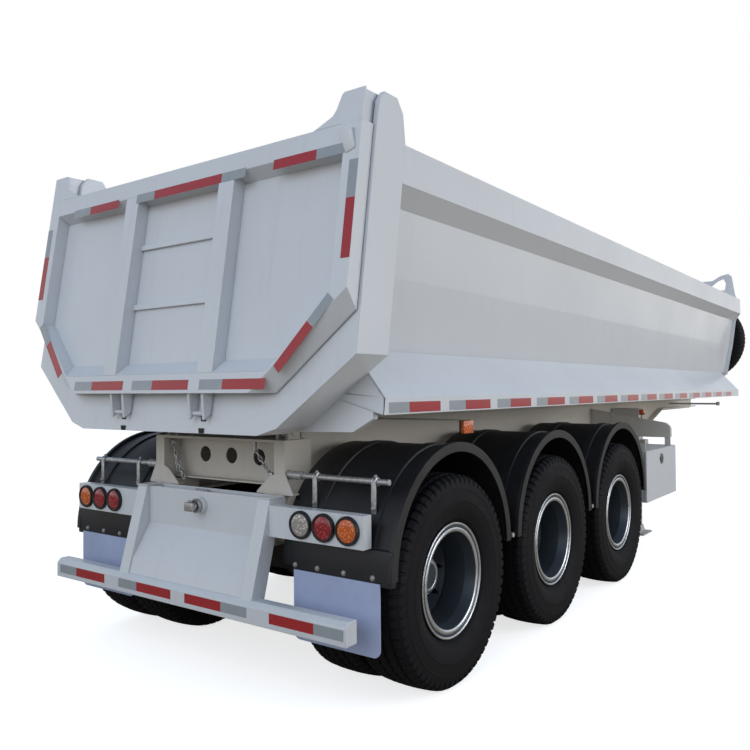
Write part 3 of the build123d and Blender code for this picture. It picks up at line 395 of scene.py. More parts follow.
def meshFrom(name, bm, material, smooth=0.0):
    bmesh.ops.recalc_face_normals(bm, faces=bm.faces)
    mesh = bpy.data.meshes.new(name)
    bm.to_mesh(mesh)
    bm.free()
    mesh.materials.append(material)
    if smooth:
        mesh.shade_smooth()
        mesh.set_sharp_from_angle(angle=math.radians(smooth))
    return mesh


def shownPiece(name, mesh, body, place=None):
    piece = bpy.data.objects.new(name, mesh)
    scene.collection.objects.link(piece)
    if place is not None:
        piece.matrix_world = place
    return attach(piece, body)


def newPiece(name, bm, slot, body, material=None, smooth=35.0, bevel=0.0):
    # smooth is the angle in degrees above which an edge stays sharp, and 0 keeps all faces flat
    piece = shownPiece(name, meshFrom(name, bm, material or paints[slot], smooth), body)
    if bevel:
        soft = piece.modifiers.new("softEdge", "BEVEL")
        soft.width, soft.segments, soft.limit_method, soft.angle_limit = bevel, 2, "ANGLE", math.radians(25)
    return piece


def skin(bm, one, two):
    # a closed band of faces between two rings of vertices
    for a, b, c, d in zip(one, one[1:] + one[:1], two[1:] + two[:1], two):
        bm.faces.new((a, b, c, d))


def loft(bm, base, top):
    # a solid between two outlines with as many points each
    rings = [[bm.verts.new(p) for p in outline] for outline in (base, top)]
    skin(bm, *rings)
    bm.faces.new(rings[0][::-1])
    bm.faces.new(rings[1])


def prism(bm, points, near, far):
    # closed outline of (a, b) pairs between two mapped faces
    loft(bm, *([face(a, b) for a, b in points] for face in (near, far)))


def plane(axis, at):
    # puts (a, b) pairs on the plane that crosses one axis (0 X, 1 Y, 2 Z) at a value
    return lambda a, b: Vector((*(a, b)[:axis], at, *(a, b)[axis:]))


def slab(bm, axis, points, low, high):
    prism(bm, points, plane(axis, low), plane(axis, high))


def roundedBlock(bm, low, high, bevel):
    made = bmesh.ops.create_cube(bm, size=1.0)["verts"]
    low, high = Vector(low), Vector(high)
    for v in made:
        v.co = Vector(((low[i] + high[i]) / 2 + v.co[i] * (high[i] - low[i]) for i in range(3)))
    edges = {e for v in made for e in v.link_edges}
    bmesh.ops.bevel(bm, geom=list(edges), offset=bevel, segments=3, affect="EDGES", profile=0.5)


def sideBlock(bm, side, low, high, bevel):
    # a rounded block whose corners are given for the left side
    y0, y1 = sorted((side * low[1], side * high[1]))
    roundedBlock(bm, (low[0], y0, low[2]), (high[0], y1, high[2]), bevel)


def onSide(side, points):
    return [(side * y, z) for y, z in points]


def mirroredPoints(points):
    return points + onSide(-1, points[::-1])


def arc(a, b, radius, start, sweep, steps):
    turns = (start + sweep * k / steps for k in range(steps + 1))
    return [(a + radius * math.cos(t), b + radius * math.sin(t)) for t in turns]


def circle(radius, steps, a=0.0, b=0.0):
    return arc(a, b, radius, 0.0, math.tau, steps)[:-1]


def pointing(place, direction):
    return Matrix.Translation(place) @ Vector(direction).to_track_quat("X", "Z").to_matrix().to_4x4()


def turned(bm, profile, steps, place):
    # closed profile of (radius, along) pairs turned about the local X axis
    lines = [[bm.verts.new(place @ Vector((x, *p))) for p in circle(r, steps)] for r, x in profile]
    for one, two in zip(lines, lines[1:] + lines[:1]):
        skin(bm, one, two)


def rod(bm, place, radius, length, sides, trim=0.0, bevel=0.0):
    # round bar along the local X axis; its end edges are trimmed inward and bevelled along it
    core = 0.0005
    middle = [(radius, bevel), (radius, length - bevel)] if bevel else []
    profile = [(core, 0.0), (radius - trim, 0.0), *middle, (radius - trim, length), (core, length)]
    turned(bm, profile, sides, place)


def disc(bm, at, radius, low, high, sides):
    prism(bm, circle(radius, sides), *(lambda y, z, x=x: at @ Vector((x, y, z)) for x in (low, high)))


# washer, hexagon, its chamfer and the thread's end: sides, share of the radius, and from and to in the height
boltSteps = ((20, 1.35, 0, 0.16), (6, 1.12, 0.16, 0.75), (6, 0.9, 0.75, 0.86), (14, 0.55, 0.86, 1))


def hexBolt(bm, place, direction, across, height):
    spin = pointing(place, direction) @ Matrix.Rotation(random.random(), 4, "X")
    for sides, wide, low, high in boltSteps:
        disc(bm, spin, wide * across / 2, height * low, height * high, sides)


# tyres: ribbed tread with zigzag grooves, shoulder slots and ringed sidewalls, sized from the CAD tyre
# grooves hold (place, slot share), and the slots' stops on the wall (radius, raised or not, slot share)
tyreLook = Values(
    pitches=64, grooveDepth=0.012, slotDepth=0.011, slotPull=0.005, zigzag=0.0035, bulgeAt=0.4165,
    lipAt=0.301, lipHalf=0.109, shoulderDrop=0.026, shoulderIn=0.012, treadIn=0.036, beadIn=0.258,
    crown=0.007, ringRise=0.0016, grooves=((0.086, 1), (0.030, 0)), grooveHalf=0.0085, floorHalf=0.005,
    slotPhases=(0.0, 0.64, 0.72, 0.93), sharp=28.0, wallStops=(0.301, 0.350, 0.380, 0.445, 0.497),
    slotStops=((0.505, 0, 0.25), (0.516, 1, 0.8)), rings=(0.320, 0.410, 0.472), ringWide=0.006,
    ringSlope=0.002)


def tyreProfile(look, outer, half):
    # half of the outline, as (place, radius, zigzag share, slot share)
    shoulder = outer - look.shoulderDrop
    treadHalf = half - look.treadIn

    def reach(radius):
        below = radius < look.bulgeAt
        far, edge = (look.lipAt, look.lipHalf) if below else (shoulder, half - look.shoulderIn)
        drop = half - edge
        rise = abs(far - look.bulgeAt)
        curve = (rise * rise + drop * drop) / (2 * drop)
        return half - (curve - math.sqrt(curve * curve - (radius - look.bulgeAt) ** 2))

    def crown(y):
        return outer - look.crown * (y / treadHalf) ** 2

    wide, slope = look.ringWide, look.ringSlope
    wall = [(r, 0, 0) for r in look.wallStops] + list(look.slotStops)
    wall += [(r + step, raised, 0) for r in look.rings
             for step, raised in ((-slope, 0), (0, 1), (wide, 1), (wide + slope, 0))]
    side = [(look.lipHalf, look.beadIn, 0, 0)]
    side += [(reach(r) - look.ringRise * (1 - raised), r, 0, slot) for r, raised, slot in sorted(wall)]
    side += [(half - look.shoulderIn, shoulder, 0, 1), (treadHalf, crown(treadHalf), 0, 1)]
    wide, floor, deep = look.grooveHalf, look.floorHalf, look.grooveDepth
    for middle, slot in look.grooves:
        for step, sunk, cut in ((wide, 0.0, slot), (floor, deep, 0), (-floor, deep, 0), (-wide, 0.0, 0)):
            side.append((middle + step, crown(middle + step) - sunk, 1, cut))
    return side + [(-y, *rest) for y, *rest in side[::-1]]


def tyreMesh(name, middles):
    look = tyreLook
    lo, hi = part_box("spare_tyre")
    outer = (hi.z - lo.z) / 2
    profile = tyreProfile(look, outer, (hi.x - lo.x) / 2)
    bm = bmesh.new()
    stops = len(look.slotPhases)
    for middle in middles:
        rings = []
        for k in range(look.pitches * stops):
            pitch, stop = divmod(k, stops)
            inSlot = stop >= stops / 2
            a = math.tau * (pitch + look.slotPhases[stop]) / look.pitches
            ring = []
            for y, r, zig, slot in profile:
                lag = a if y > 0 else a + math.pi / look.pitches
                shift = look.zigzag * zig * (1 if inSlot else -1)
                deep = look.slotDepth * slot if inSlot else 0.0
                onWall = r < outer - look.shoulderDrop + 0.001
                pull = look.slotPull * slot * math.copysign(1, y) if inSlot and onWall else 0.0
                ring.append(bm.verts.new(((r - deep) * math.cos(lag), middle + y + shift - pull,
                                          (r - deep) * math.sin(lag))))
            rings.append(ring)
        for one, two in zip(rings, rings[1:] + rings[:1]):
            skin(bm, one, two)
    return meshFrom(name, bm, paints["tyre_rubber"], look.sharp)


wheelBodies = [b for b in frame["bodies"] if b.startswith("wheel_")]


def wheelCentre(node):
    lo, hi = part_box(node)
    return (lo + hi) / 2


def onWheels(prefix, mesh, faceOut=True):
    # one copy on each wheel, its outer face turned to its own side
    pieces = []
    for body in wheelBodies:
        place = Matrix.Translation(wheelCentre(body.replace("wheel_", "tyres_")))
        if faceOut and "right" in body:
            place = place @ Matrix.Rotation(math.pi, 4, "Z")
        pieces.append(shownPiece(body.replace("wheel_", prefix), mesh, body, place))
    return pieces


def fitTyres():
    lo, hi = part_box("tyres_left_1")
    spareLo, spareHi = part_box("spare_tyre")
    offset = ((hi.y - lo.y) - (spareHi.x - spareLo.x)) / 2
    pair = tyreMesh("treadPair", (-offset, offset))
    for body, piece in zip(wheelBodies, onWheels("treaded_tyres_", pair, faceOut=False)):
        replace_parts(piece, body.replace("wheel_", "tyres_"))
    spare = shownPiece("treaded_spare_tyre", tyreMesh("treadSingle", (0.0,)), "bed",
                       Matrix.Translation(wheelCentre("spare_tyre")) @ Matrix.Rotation(math.pi / 2, 4, "Z"))
    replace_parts(spare, "spare_tyre")


fitTyres()
print("tyres fitted")


# wheel nuts on each outer disc and bolts round each hub cap:
# count, half a step of turn or none, circle's radius, place along the axle, size across flats, height
nutLook = Values(disc=(10, 0.0, 0.1675, 0.012, 0.032, 0.028), cap=(8, 0.5, 0.094, 0.120, 0.013, 0.010))


def wheelNuts():
    bm = bmesh.new()
    for count, half, radius, along, across, height in nutLook.values():
        for k in range(count):
            a = math.tau * (k + half) / count
            hexBolt(bm, (radius * math.sin(a), along, radius * math.cos(a)), (0, 1, 0), across, height)
    onWheels("wheel_nuts_", meshFrom("wheelNuts", bm, boltSteel))


random.seed(4)
wheelNuts()


# bright rings on each rim: rolled lip and lock ring on the face, beads on the disc, a ring round the hub cap
rimRings = Values(
    face=0.293, steps=72, sharp=50.0,
    lip=[(0.2990, -0.001), (0.3002, 0.002), (0.2985, 0.0056), (0.2945, 0.0070), (0.2900, 0.0058),
        (0.2875, 0.0030), (0.2868, -0.001)],
    lock=[(0.2740, -0.001), (0.2735, 0.0026), (0.2700, 0.0050), (0.2610, 0.0052), (0.2550, 0.0034),
        (0.2512, 0.0006), (0.2506, -0.001)],
    cap=[(0.0862, 0.128), (0.0885, 0.130), (0.0885, 0.1475), (0.0862, 0.1505), (0.0700, 0.1515),
        (0.0665, 0.1505), (0.0660, 0.1497), (0.0862, 0.1497)],
    beads=[(0.2400, 0.1085, 0.0032), (0.1985, 0.0125, 0.0028), (0.2450, 0.2330, 0.0025),
        (0.1500, 0.0122, 0.0022), (0.1085, 0.1195, 0.0022)])


def fitRimRings():
    look = rimRings
    bm = bmesh.new()
    profiles = [[(r, look.face + x) for r, x in look[key]] for key in ("lip", "lock")] + [look.cap]
    profiles += [circle(thick, 8, radius, along) for radius, along, thick in look.beads]
    for profile in profiles:
        turned(bm, profile, look.steps, pointing((0, 0, 0), (0, 1, 0)))
    onWheels("rim_rings_", meshFrom("rimRings", bm, rimBright, look.sharp))


fitRimRings()
print("wheels dressed")


# reflective tape, 50 mm wide: on the gate, the bumper and along both skirt lips
# each pair of patches across the trailer holds its silver end, the seam and its red end
tapeLook = Values(
    width=0.050, thick=0.0009, gateRake=0.155,
    gate={2.634: ((0.966, 0.797, 0.517), (0.349, 0.191, -0.090), (-0.523, -0.350, -0.092),
                  (-1.154, -0.984, -0.713)),
          1.583: ((0.702, 0.535, 0.250), (0.171, 0.003, -0.280), (-0.362, -0.526, -0.810))},
    gateSides={"silver": ((1.209, 2.569), (1.209, 2.397)), "red": ((1.209, 2.395), (1.209, 2.123))},
    gateSlopes={"silver": ((1.150, 1.960), (1.047, 1.845)), "red": ((1.045, 1.843), (0.868, 1.647))},
    bumperRise=0.052,
    bumper=((1.107, 0.934, 0.649), (0.514, 0.348, 0.054), (-0.522, -0.337, -0.060),
        (-1.130, -0.955, -0.675)),
    skirtFirst=-4.196, skirtZ=1.469, silver=0.170, seam=0.002, red=0.280, gap=0.087)
gateRake = tapeLook.gateRake
gateOut = Vector((-1, 0, gateRake))
xAxis, yAxis, zAxis = (Vector(axis) for axis in ((1, 0, 0), (0, 1, 0), (0, 0, 1)))


def gatePoint(y, z):
    # the gate's rear face leans back: low edge furthest out
    lo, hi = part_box("tailgate_frame")
    return Vector((lo.x + gateRake * (z - lo.z), y, z))


def gateAt(back):
    return lambda y, z: gatePoint(y, z) + xAxis * back


def tapePatch(bm, start, end, across, outward):
    # start and end lie on the middle line of the strip
    side = across.normalized() * tapeLook.width / 2
    base = [start - side, start + side, end + side, end - side]
    loft(bm, base, [p + outward.normalized() * tapeLook.thick for p in base])


def halfOf(pairs, colour):
    # the patches of one colour in a row of pairs
    return [(pair[0], pair[1]) if colour == "silver" else (pair[1], pair[2]) for pair in pairs]


def gateTape(bm, colour):
    for z, pairs in tapeLook.gate.items():
        for a, b in halfOf(pairs, colour):
            tapePatch(bm, gatePoint(a, z), gatePoint(b, z), Vector((gateRake, 0, 1)), gateOut)
    for side in (1, -1):
        for key in ("gateSides", "gateSlopes"):
            start, end = (gatePoint(side * y, z) for y, z in tapeLook[key][colour])
            tapePatch(bm, start, end, (end - start).cross(gateOut), gateOut)


def bumperTape(bm, colour):
    lo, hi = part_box("bumper_beam")
    for pair in halfOf(tapeLook.bumper, colour):
        start, end = (Vector((lo.x, y, lo.z + tapeLook.bumperRise)) for y in pair)
        tapePatch(bm, start, end, zAxis, -xAxis)


def skirtTape(bm, colour):
    look = tapeLook
    lo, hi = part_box("side_skirts")
    for side in (1, -1):
        x = look.skirtFirst
        while x + look.silver + look.red < hi.x:
            middle = x + look.silver
            ends = (x, middle - look.seam) if colour == "silver" else (middle, middle + look.red)
            start, end = (Vector((at, side * hi.y, look.skirtZ)) for at in ends)
            tapePatch(bm, start, end, zAxis, yAxis * side)
            x = middle + look.red + look.gap


for colour, material in tapes.items():
    for where, layer, body in (("gate", gateTape, "tailgate"), ("bumper", bumperTape, "chassis"),
                               ("skirt", skirtTape, "bed")):
        bm = bmesh.new()
        layer(bm, colour)
        newPiece(where + "_tape_" + colour, bm, "white_paint", body, material, smooth=0)
print("tape laid")


# tail lamps: black ring, domed lens; rows run outward from the middle, right side first
lampLook = Values(
    firstY=0.754, pitch=0.145, ring=0.069, lens=0.056, depth=0.022, domeTop=0.95, domeDrop=0.35,
    domeRings=7, steps=48,
    rim=(("lens", -0.002, 0.0), ("ring", 0.0, 0.0), ("ring", 0.0, 0.55), ("ring", -0.004, 0.9),
        ("lens", 0.003, 0.9), ("lens", -0.002, 0.6)),
    rows={-1: ("clear", "red", "amber"), 1: ("red", "red", "amber")})


def lampRing(bm, at):
    look = lampLook
    rim = [(look[key] + step, look.depth * share) for key, step, share in look.rim]
    turned(bm, rim, look.steps, at)


def lampDome(bm, at):
    look = lampLook
    centre = bm.verts.new(at @ Vector((look.depth * look.domeTop, 0, 0)))
    last = None
    for i in range(1, look.domeRings + 1):
        share = i / look.domeRings
        x = look.depth * (look.domeTop - look.domeDrop * share ** 3)
        ring = [bm.verts.new(at @ Vector((x, *p))) for p in circle(look.lens * share, look.steps)]
        for k, (here, following) in enumerate(zip(ring, ring[1:] + ring[:1])):
            edge = (here, following)
            bm.faces.new((last[k], *edge, last[(k + 1) % len(last)]) if last else (centre, *edge))
        last = ring
    bm.faces.new(last[::-1])


def tailLamps():
    lo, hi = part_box("lamps")
    lenses = {"clear": bmesh.new(), "red": bmesh.new(), "amber": bmesh.new()}
    rings = bmesh.new()
    for side, row in lampLook.rows.items():
        for i, kind in enumerate(row):
            y = side * (lampLook.firstY + i * lampLook.pitch)
            at = pointing((hi.x, y, (lo.z + hi.z) / 2), (-1, 0, 0))
            lampRing(rings, at)
            lampDome(lenses[kind], at)
    housing = newPiece("lamp_rings", rings, "black_plastic", "chassis")
    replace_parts(housing, "lamps")
    newPiece("lamp_lens_clear", lenses["clear"], "lamp_red", "chassis", clearLens)
    for kind in ("red", "amber"):
        newPiece("lamp_lens_" + kind, lenses[kind], "lamp_" + kind, "chassis")


tailLamps()
print("lamps fitted")


# tailgate shell: sheet, ring bevelled along its sloping edges, posts, thin rungs, ledge, hood and hinge horns
# outlines are (y, z) pairs on the gate's rear face, and arm points are (past the face or pin, z)
gateLook = Values(
    outline=[(1.235, 2.752), (1.235, 1.903), (0.811, 1.540)],
    rear=[(1.235, 2.752), (1.235, 1.995), (0.703, 1.540)],
    pocket=[(1.140, 2.649), (1.140, 1.962), (0.803, 1.640)], sheet=0.077, thick=0.085,
    posts=(0.332, 0.444), rungs=(2.002, 2.342), rungHigh=0.030, rungDeep=0.018, ledge=0.060, hood=0.045,
    hornThick=0.012, softEdge=0.002,
    horn=[(0.950, 2.752), (1.058, 2.800), (1.078, 2.826), (1.104, 2.893), (1.116, 2.905), (1.235, 2.905),
        (1.235, 2.752)],
    arm=(1.112, 1.217), armRear=((0.0, 2.740), (0.002, 2.905)), pin=(-4.175, 2.865), pinReach=0.043)


def gateArm(bm, side):
    look = gateLook
    (px, pz), r = look.pin, look.pinReach
    top = look.outline[0][1]
    points = [(gatePoint(0, z).x + past, z) for past, z in look.armRear]
    points += [(px, pz + r), (px + r, pz), (px, pz - r), (gatePoint(0, top).x + look.thick, top)]
    slab(bm, 1, points, *(side * y for y in look.arm))


def gateShelf(bm, z, rise, reach, inner):
    # a sloping sheet from the ring's edge back to the gate's sheet, across the pocket
    front, back = gateAt(0), gateAt(gateLook.sheet)
    loft(bm, *([front(s * reach, z), back(s * inner, z + rise), back(s * reach, z)] for s in (1, -1)))


def tailgateShell():
    look = gateLook
    sheet, front = look.sheet, gateAt(0)
    bm = bmesh.new()
    full, rear, pocket = (mirroredPoints(look[key]) for key in ("outline", "rear", "pocket"))
    prism(bm, full, gateAt(sheet), gateAt(look.thick))
    loops = [[bm.verts.new(gateAt(back)(y, z)) for y, z in points]
             for points, back in ((full, sheet), (rear, 0), (pocket, 0), (pocket, sheet))]
    for one, two in zip(loops, loops[1:] + loops[:1]):
        skin(bm, one, two)
    (topY, high), (bendY, bendZ), (lowY, low) = look.pocket
    near, far = look.posts
    for side in (1, -1):
        prism(bm, onSide(side, [(near, low), (far, low), (far, high), (near, high)]), front, gateAt(sheet))
        prism(bm, onSide(side, look.horn), front, gateAt(look.hornThick))
        gateArm(bm, side)
    for z in look.rungs:
        rung = [(-near, z), (near, z), (near, z + look.rungHigh), (-near, z + look.rungHigh)]
        prism(bm, rung, gateAt(sheet - look.rungDeep), gateAt(sheet))
    slope = (bendY - lowY) / (bendZ - low)
    gateShelf(bm, low, look.ledge, lowY, lowY + slope * look.ledge)
    gateShelf(bm, high, -look.hood, topY, topY)
    piece = newPiece("tailgate_shell", bm, "white_paint", "tailgate", smooth=0, bevel=look.softEdge)
    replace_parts(piece, "tailgate_frame", "tailgate_panel")


tailgateShell()


# mudguards: arches with two raised straps and a flanged outer lip, and the board behind the rear wheels
guardShape = Values(
    radius=0.590, centreZ=0.668, wall=0.006, inner=0.560, outer=1.250, straps=(0.740, 1.100),
    strapHalf=0.030, strapSlope=0.004, rise=0.009, lipWide=0.026, lipRise=0.018, lipSlope=0.008,
    flange=0.050, steps=56, board=((-4.177, 0.630, 0.640), (-4.135, 1.2425, 0.808)), boardEdge=0.004)


def guardProfile(look):
    # (y, radius) pairs round the sheet's section
    r, rise, wall, outer = (look[key] for key in ("radius", "rise", "wall", "outer"))
    lip, slope = r + look.lipRise, look.strapSlope
    profile = [(look.inner, r)]
    for middle in look.straps:
        near, far = middle - look.strapHalf, middle + look.strapHalf
        profile += [(near - slope, r), (near, r + rise), (far, r + rise), (far + slope, r)]
    lipY, foot = outer - look.lipWide, lip - look.flange
    profile += [(lipY - look.lipSlope, r), (lipY, lip), (outer, lip), (outer, foot), (outer - wall, foot)]
    return profile + [(outer - wall, lip - wall), (lipY + wall / 2, lip - wall),
                      (lipY + 0.003 - look.lipSlope, r - wall), (look.inner, r - wall)]


def guardArches():
    look = guardShape
    bm = bmesh.new()
    for side in (1, -1):
        for n in (1, 2, 3):
            x = wheelCentre("tyres_left_" + str(n)).x
            lines = [[bm.verts.new((a, side * y, b))
                      for a, b in arc(x, look.centreZ, reach, 0, math.pi, look.steps)]
                     for y, reach in guardProfile(look)]
            rings = list(zip(*lines))
            for one, two in zip(rings, rings[1:]):
                skin(bm, one, two)
            bm.faces.new(rings[0])
            bm.faces.new(rings[-1][::-1])
        sideBlock(bm, side, *look.board, look.boardEdge)
    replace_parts(newPiece("guard_arches", bm, "black_plastic", "chassis", smooth=30), "mudguards")


guardArches()


# bright tubes, sockets, clamps and straps that hold the guards
stayShape = Values(
    x=-4.083, z=1.112, tube=0.0145, socket=0.023, start=0.470, socketTo=0.625, end=1.172,
    clampY=(0.720, 1.090), clampHalf=0.015, clampWall=0.004, strapHalf=0.014, strapLow=0.958,
    strapFrom=0.020, strapTo=0.012, strapEdge=0.002, sides=28, trim=0.1, bevel=0.002, lowZ=0.688,
    lowTube=0.015, lowFrom=0.500, lowTo=1.244, behindAxle=(0.655, 0.655, 0.616), lowClamps=(0.640, 1.200),
    blockLow=(0.067, 0.012, 0.020), blockHigh=(0.022, 0.012, 0.020), blockEdge=0.003)


def guardStays():
    look = stayShape
    x, z = look.x, look.z
    axles = sorted(wheelCentre("tyres_left_" + str(n)).x for n in (1, 2, 3))
    bm = bmesh.new()
    for side in (1, -1):
        def tube(x, z, r, start, end):
            at = pointing((x, side * start, z), yAxis * side)
            rod(bm, at, r, end - start, look.sides, r * look.trim, look.bevel)

        tube(x, z, look.tube, look.start, look.end)
        tube(x, z, look.socket, look.start, look.socketTo)
        for y in look.clampY:
            half, wide = look.clampHalf, look.strapHalf
            tube(x, z, look.tube + look.clampWall, y - half, y + half)
            sideBlock(bm, side, (x - look.strapFrom, y - wide, look.strapLow),
                      (x - look.strapTo, y + wide, z + look.clampWall), look.strapEdge)
        for axle, behind in zip(axles, look.behindAxle):
            middle = axle + behind
            tube(middle, look.lowZ, look.lowTube, look.lowFrom, look.lowTo)
            for y in look.lowClamps:
                at = Vector((middle, y, look.lowZ))
                sideBlock(bm, side, at - Vector(look.blockLow), at + Vector(look.blockHigh), look.blockEdge)
    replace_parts(newPiece("stay_tubes", bm, "galvanised", "chassis", smooth=30), "guard_stays")


guardStays()


# raked struts of the bumper with the folded plate between them, caps, wings and the cross rail behind
strutShape = Values(
    top=(-4.235, 1.000), foot=(-4.377, 0.480), y=(0.453, 0.535), depth=0.095, tail=-4.115, plateIn=0.020,
    knee=0.790, low=0.600, bumperTop=0.519, wall=0.008, wingLow=0.950, wingIn=0.002, wingNarrow=0.001,
    capOut=0.006, capShort=0.030, capWide=0.015, shelf=(0.200, 0.330), shelfZ=(0.954, 0.962), gap=0.004,
    skip=0.001, brace=(0.060, -0.040, 0.060, 0.160), railTop=1.004, softEdge=0.003, steps=48,
    boss=[(0.0005, 0.0), (0.045, 0.0), (0.045, 0.026), (0.043, 0.030), (0.0005, 0.030)],
    bossIn=0.002, bossZ=0.925)


def bumperStruts():
    look = strutShape
    (tx, tz), (fx, fz) = look.top, look.foot
    y0, y1 = look.y
    deep, tail, wall, low, gap = (look[key] for key in ("depth", "tail", "wall", "wingLow", "gap"))
    face = tx + look.plateIn
    bm = bmesh.new()

    def platePoint(z):
        return tx + (fx - tx) * (tz - z) / (tz - fz) + wall, z

    for side in (1, -1):
        a, b = side * y0, side * y1
        slab(bm, 1, [(tx, tz), (fx, fz), (fx + deep, fz), (tx + deep, tz)], a, b)
        wing = tx + look.wingIn
        slab(bm, 1, [(wing, low), (tail, low), (tail, tz), (wing, tz)], a * (1 + look.wingNarrow),
             b * (1 - look.wingNarrow))
        start, end = tx - look.capOut, tail - look.capShort
        inner, outer = a * (1 - look.capWide), b * (1 + look.capWide)
        slab(bm, 2, [(start, inner), (start, outer), (end, outer), (end, inner)], tz, tz + wall)
        near, far = (side * y for y in look.shelf)
        slab(bm, 2, [(face + gap, a), (face + gap, near), (tail - gap, far), (tail - gap, a)], *look.shelfZ)
    path = [(face, tz), (face, look.knee), platePoint(look.low), platePoint(look.bumperTop)]
    slab(bm, 1, path + [(x + wall, z) for x, z in path[::-1]], -y0, y0)
    xs = (face + gap, face + gap, tail - gap, tail - gap)
    slab(bm, 2, list(zip(xs, look.brace)), tz - wall - look.skip, tz - look.skip)
    slab(bm, 1, [(tail - wall, low), (tail, low), (tail, look.railTop), (tail - wall, look.railTop)], -y0, y0)
    turned(bm, look.boss, look.steps, pointing((face + look.bossIn, 0.0, look.bossZ), (-1, 0, 0)))
    struts = newPiece("bumper_struts", bm, "white_paint", "chassis", smooth=20, bevel=look.softEdge)
    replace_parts(struts, "bumper_frame")


bumperStruts()


# bumper bar with its bevelled upper edge, and the flaps with rounded lower corners
barLook = Values(
    bevel=0.024, softEdge=0.004, flapY=(0.650, 1.182), flapZ=(0.312, 0.655), flapX=(-4.183, -4.177),
    corner=0.040, cornerSteps=8)


def bumperBar():
    look = barLook
    lo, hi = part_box("bumper_beam")
    edge, r = look.bevel, look.corner
    bm = bmesh.new()
    section = [(lo.x, lo.z), (lo.x, hi.z - edge), (lo.x + edge, hi.z), (hi.x, hi.z), (hi.x, lo.z)]
    slab(bm, 1, section, lo.y, hi.y)
    bar = newPiece("bumper_bar", bm, "white_paint", "chassis", smooth=20, bevel=look.softEdge)
    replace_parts(bar, "bumper_beam")
    bm = bmesh.new()
    (y0, y1), (z0, z1) = look.flapY, look.flapZ
    outline = [(y0, z1)]
    for y, start in ((y0 + r, math.pi), (y1 - r, 1.5 * math.pi)):
        outline += arc(y, z0 + r, r, start, math.pi / 2, look.cornerSteps)
    outline.append((y1, z1))
    for side in (1, -1):
        slab(bm, 0, onSide(side, outline), *look.flapX)
    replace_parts(newPiece("flap_sheets", bm, "flap_sheet", "chassis", smooth=20), "mudflaps")


bumperBar()


# tail beam: posts on the beam ends, the plate set in between them with round holes, feet and hinge ears
tailShape = Values(
    rear=-4.115, front=-3.905, plateX=-3.995, top=1.290, low=1.024, plateLow=1.048, lip=0.050,
    post=(0.450, 0.525), beam=(0.380, 0.520), beamLow=0.950, wall=0.008, holeZ=1.180, holeRadius=0.046,
    holePitch=0.222, holeSteps=40, half=0.451, capDeep=0.014,
    foot=[(0.450, 0.086), (0.525, 0.100), (0.582, -0.010), (0.322, -0.010), (0.413, 0.072)],
    sole=(0.322, 0.582), soleZ=(-0.018, -0.0101), soleDeep=0.050, skip=0.0005, hinge=(-4.005, 1.340),
    ears=((0.405, 0.425), (0.475, 0.495)), earRadius=0.042, earHalf=0.050, earSink=0.002, pinFrom=0.397,
    pinRadius=0.030, pinLength=0.106, pinEdge=0.001)


def block(bm, low, high):
    (x0, y0, z0), (x1, y1, z1) = low, high
    slab(bm, 0, [(y0, z0), (y1, z0), (y1, z1), (y0, z1)], x0, x1)


def tailHinge(bm, side):
    look = tailShape
    (x, z), half, foot = look.hinge, look.earHalf, look.top - look.earSink
    for ear in look.ears:
        outline = [(x - half, foot), (x + half, foot), *arc(x, z, look.earRadius, 0, math.pi, 14)]
        slab(bm, 1, outline, *(side * y for y in ear))
    rod(bm, pointing((x, side * look.pinFrom, z), yAxis * side), look.pinRadius, look.pinLength, 32,
        look.pinEdge, look.pinEdge)


def holedPlate(bm, x0, x1, z0, z1):
    # three square panels side by side, each a band of faces from its round hole out to its edge
    look = tailShape
    zc, half, steps = look.holeZ, look.holePitch / 2, look.holeSteps
    unit = arc(0, 0, 1, math.pi / steps, math.tau, steps)[:-1]
    reaches = [min(half / max(abs(u), 1e-9), (z1 - zc if v > 0 else zc - z0) / max(abs(v), 1e-9))
               for u, v in unit]
    for middle in (-2 * half, 0.0, 2 * half):
        rim = [(middle + look.holeRadius * u, zc + look.holeRadius * v) for u, v in unit]
        edge = [(middle + reach * u, zc + reach * v) for reach, (u, v) in zip(reaches, unit)]
        sheets = [[[bm.verts.new((x, y, z)) for y, z in line] for line in (rim, edge)] for x in (x0, x1)]
        for rimLine, edgeLine in sheets:
            skin(bm, rimLine, edgeLine)
        skin(bm, sheets[0][0], sheets[1][0])
        for corner in ((middle + a, b) for b in (z0, z1) for a in (-half, half)):
            near = sorted(edge, key=lambda p: (p[0] - corner[0]) ** 2 + (p[1] - corner[1]) ** 2)[:2]
            for x in (x0, x1):
                bm.faces.new([bm.verts.new((x, y, z)) for y, z in (*near, corner)])


def tailBeam():
    look = tailShape
    x0, x1, plate, top, low, wall = (look[key] for key in ("rear", "front", "plateX", "top", "low", "wall"))
    half, capLow, plateLow, skip = look.half, look.top - look.capDeep, look.plateLow, look.skip
    bm = bmesh.new()
    for side in (1, -1):
        (a, b), (c, d), (e, f) = ([side * y for y in look[key]] for key in ("post", "sole", "beam"))
        block(bm, (x0, a, low), (x1, b, top))
        slab(bm, 0, [(side * y, low + z) for y, z in look.foot], x0 - skip, x0 + wall)
        block(bm, (x0, c, low + look.soleZ[0]), (x0 + look.soleDeep, d, low + look.soleZ[1]))
        block(bm, (x0 + 2 * skip, e, look.beamLow), (x1, f, low + wall))
        tailHinge(bm, side)
    block(bm, (x0 + 4 * skip, -half, capLow), (x1 - 4 * skip, half, top))
    block(bm, (plate - look.lip, -half, plateLow - wall), (plate + wall, half, plateLow))
    holedPlate(bm, plate, plate + wall, plateLow, capLow)
    for side in (1, -1):
        block(bm, (plate, side * 1.5 * look.holePitch, plateLow), (plate + wall, side * half, capLow))
    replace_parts(newPiece("tail_crossbeam", bm, "chassis_paint", "chassis", smooth=25), "tail_beam")


tailBeam()


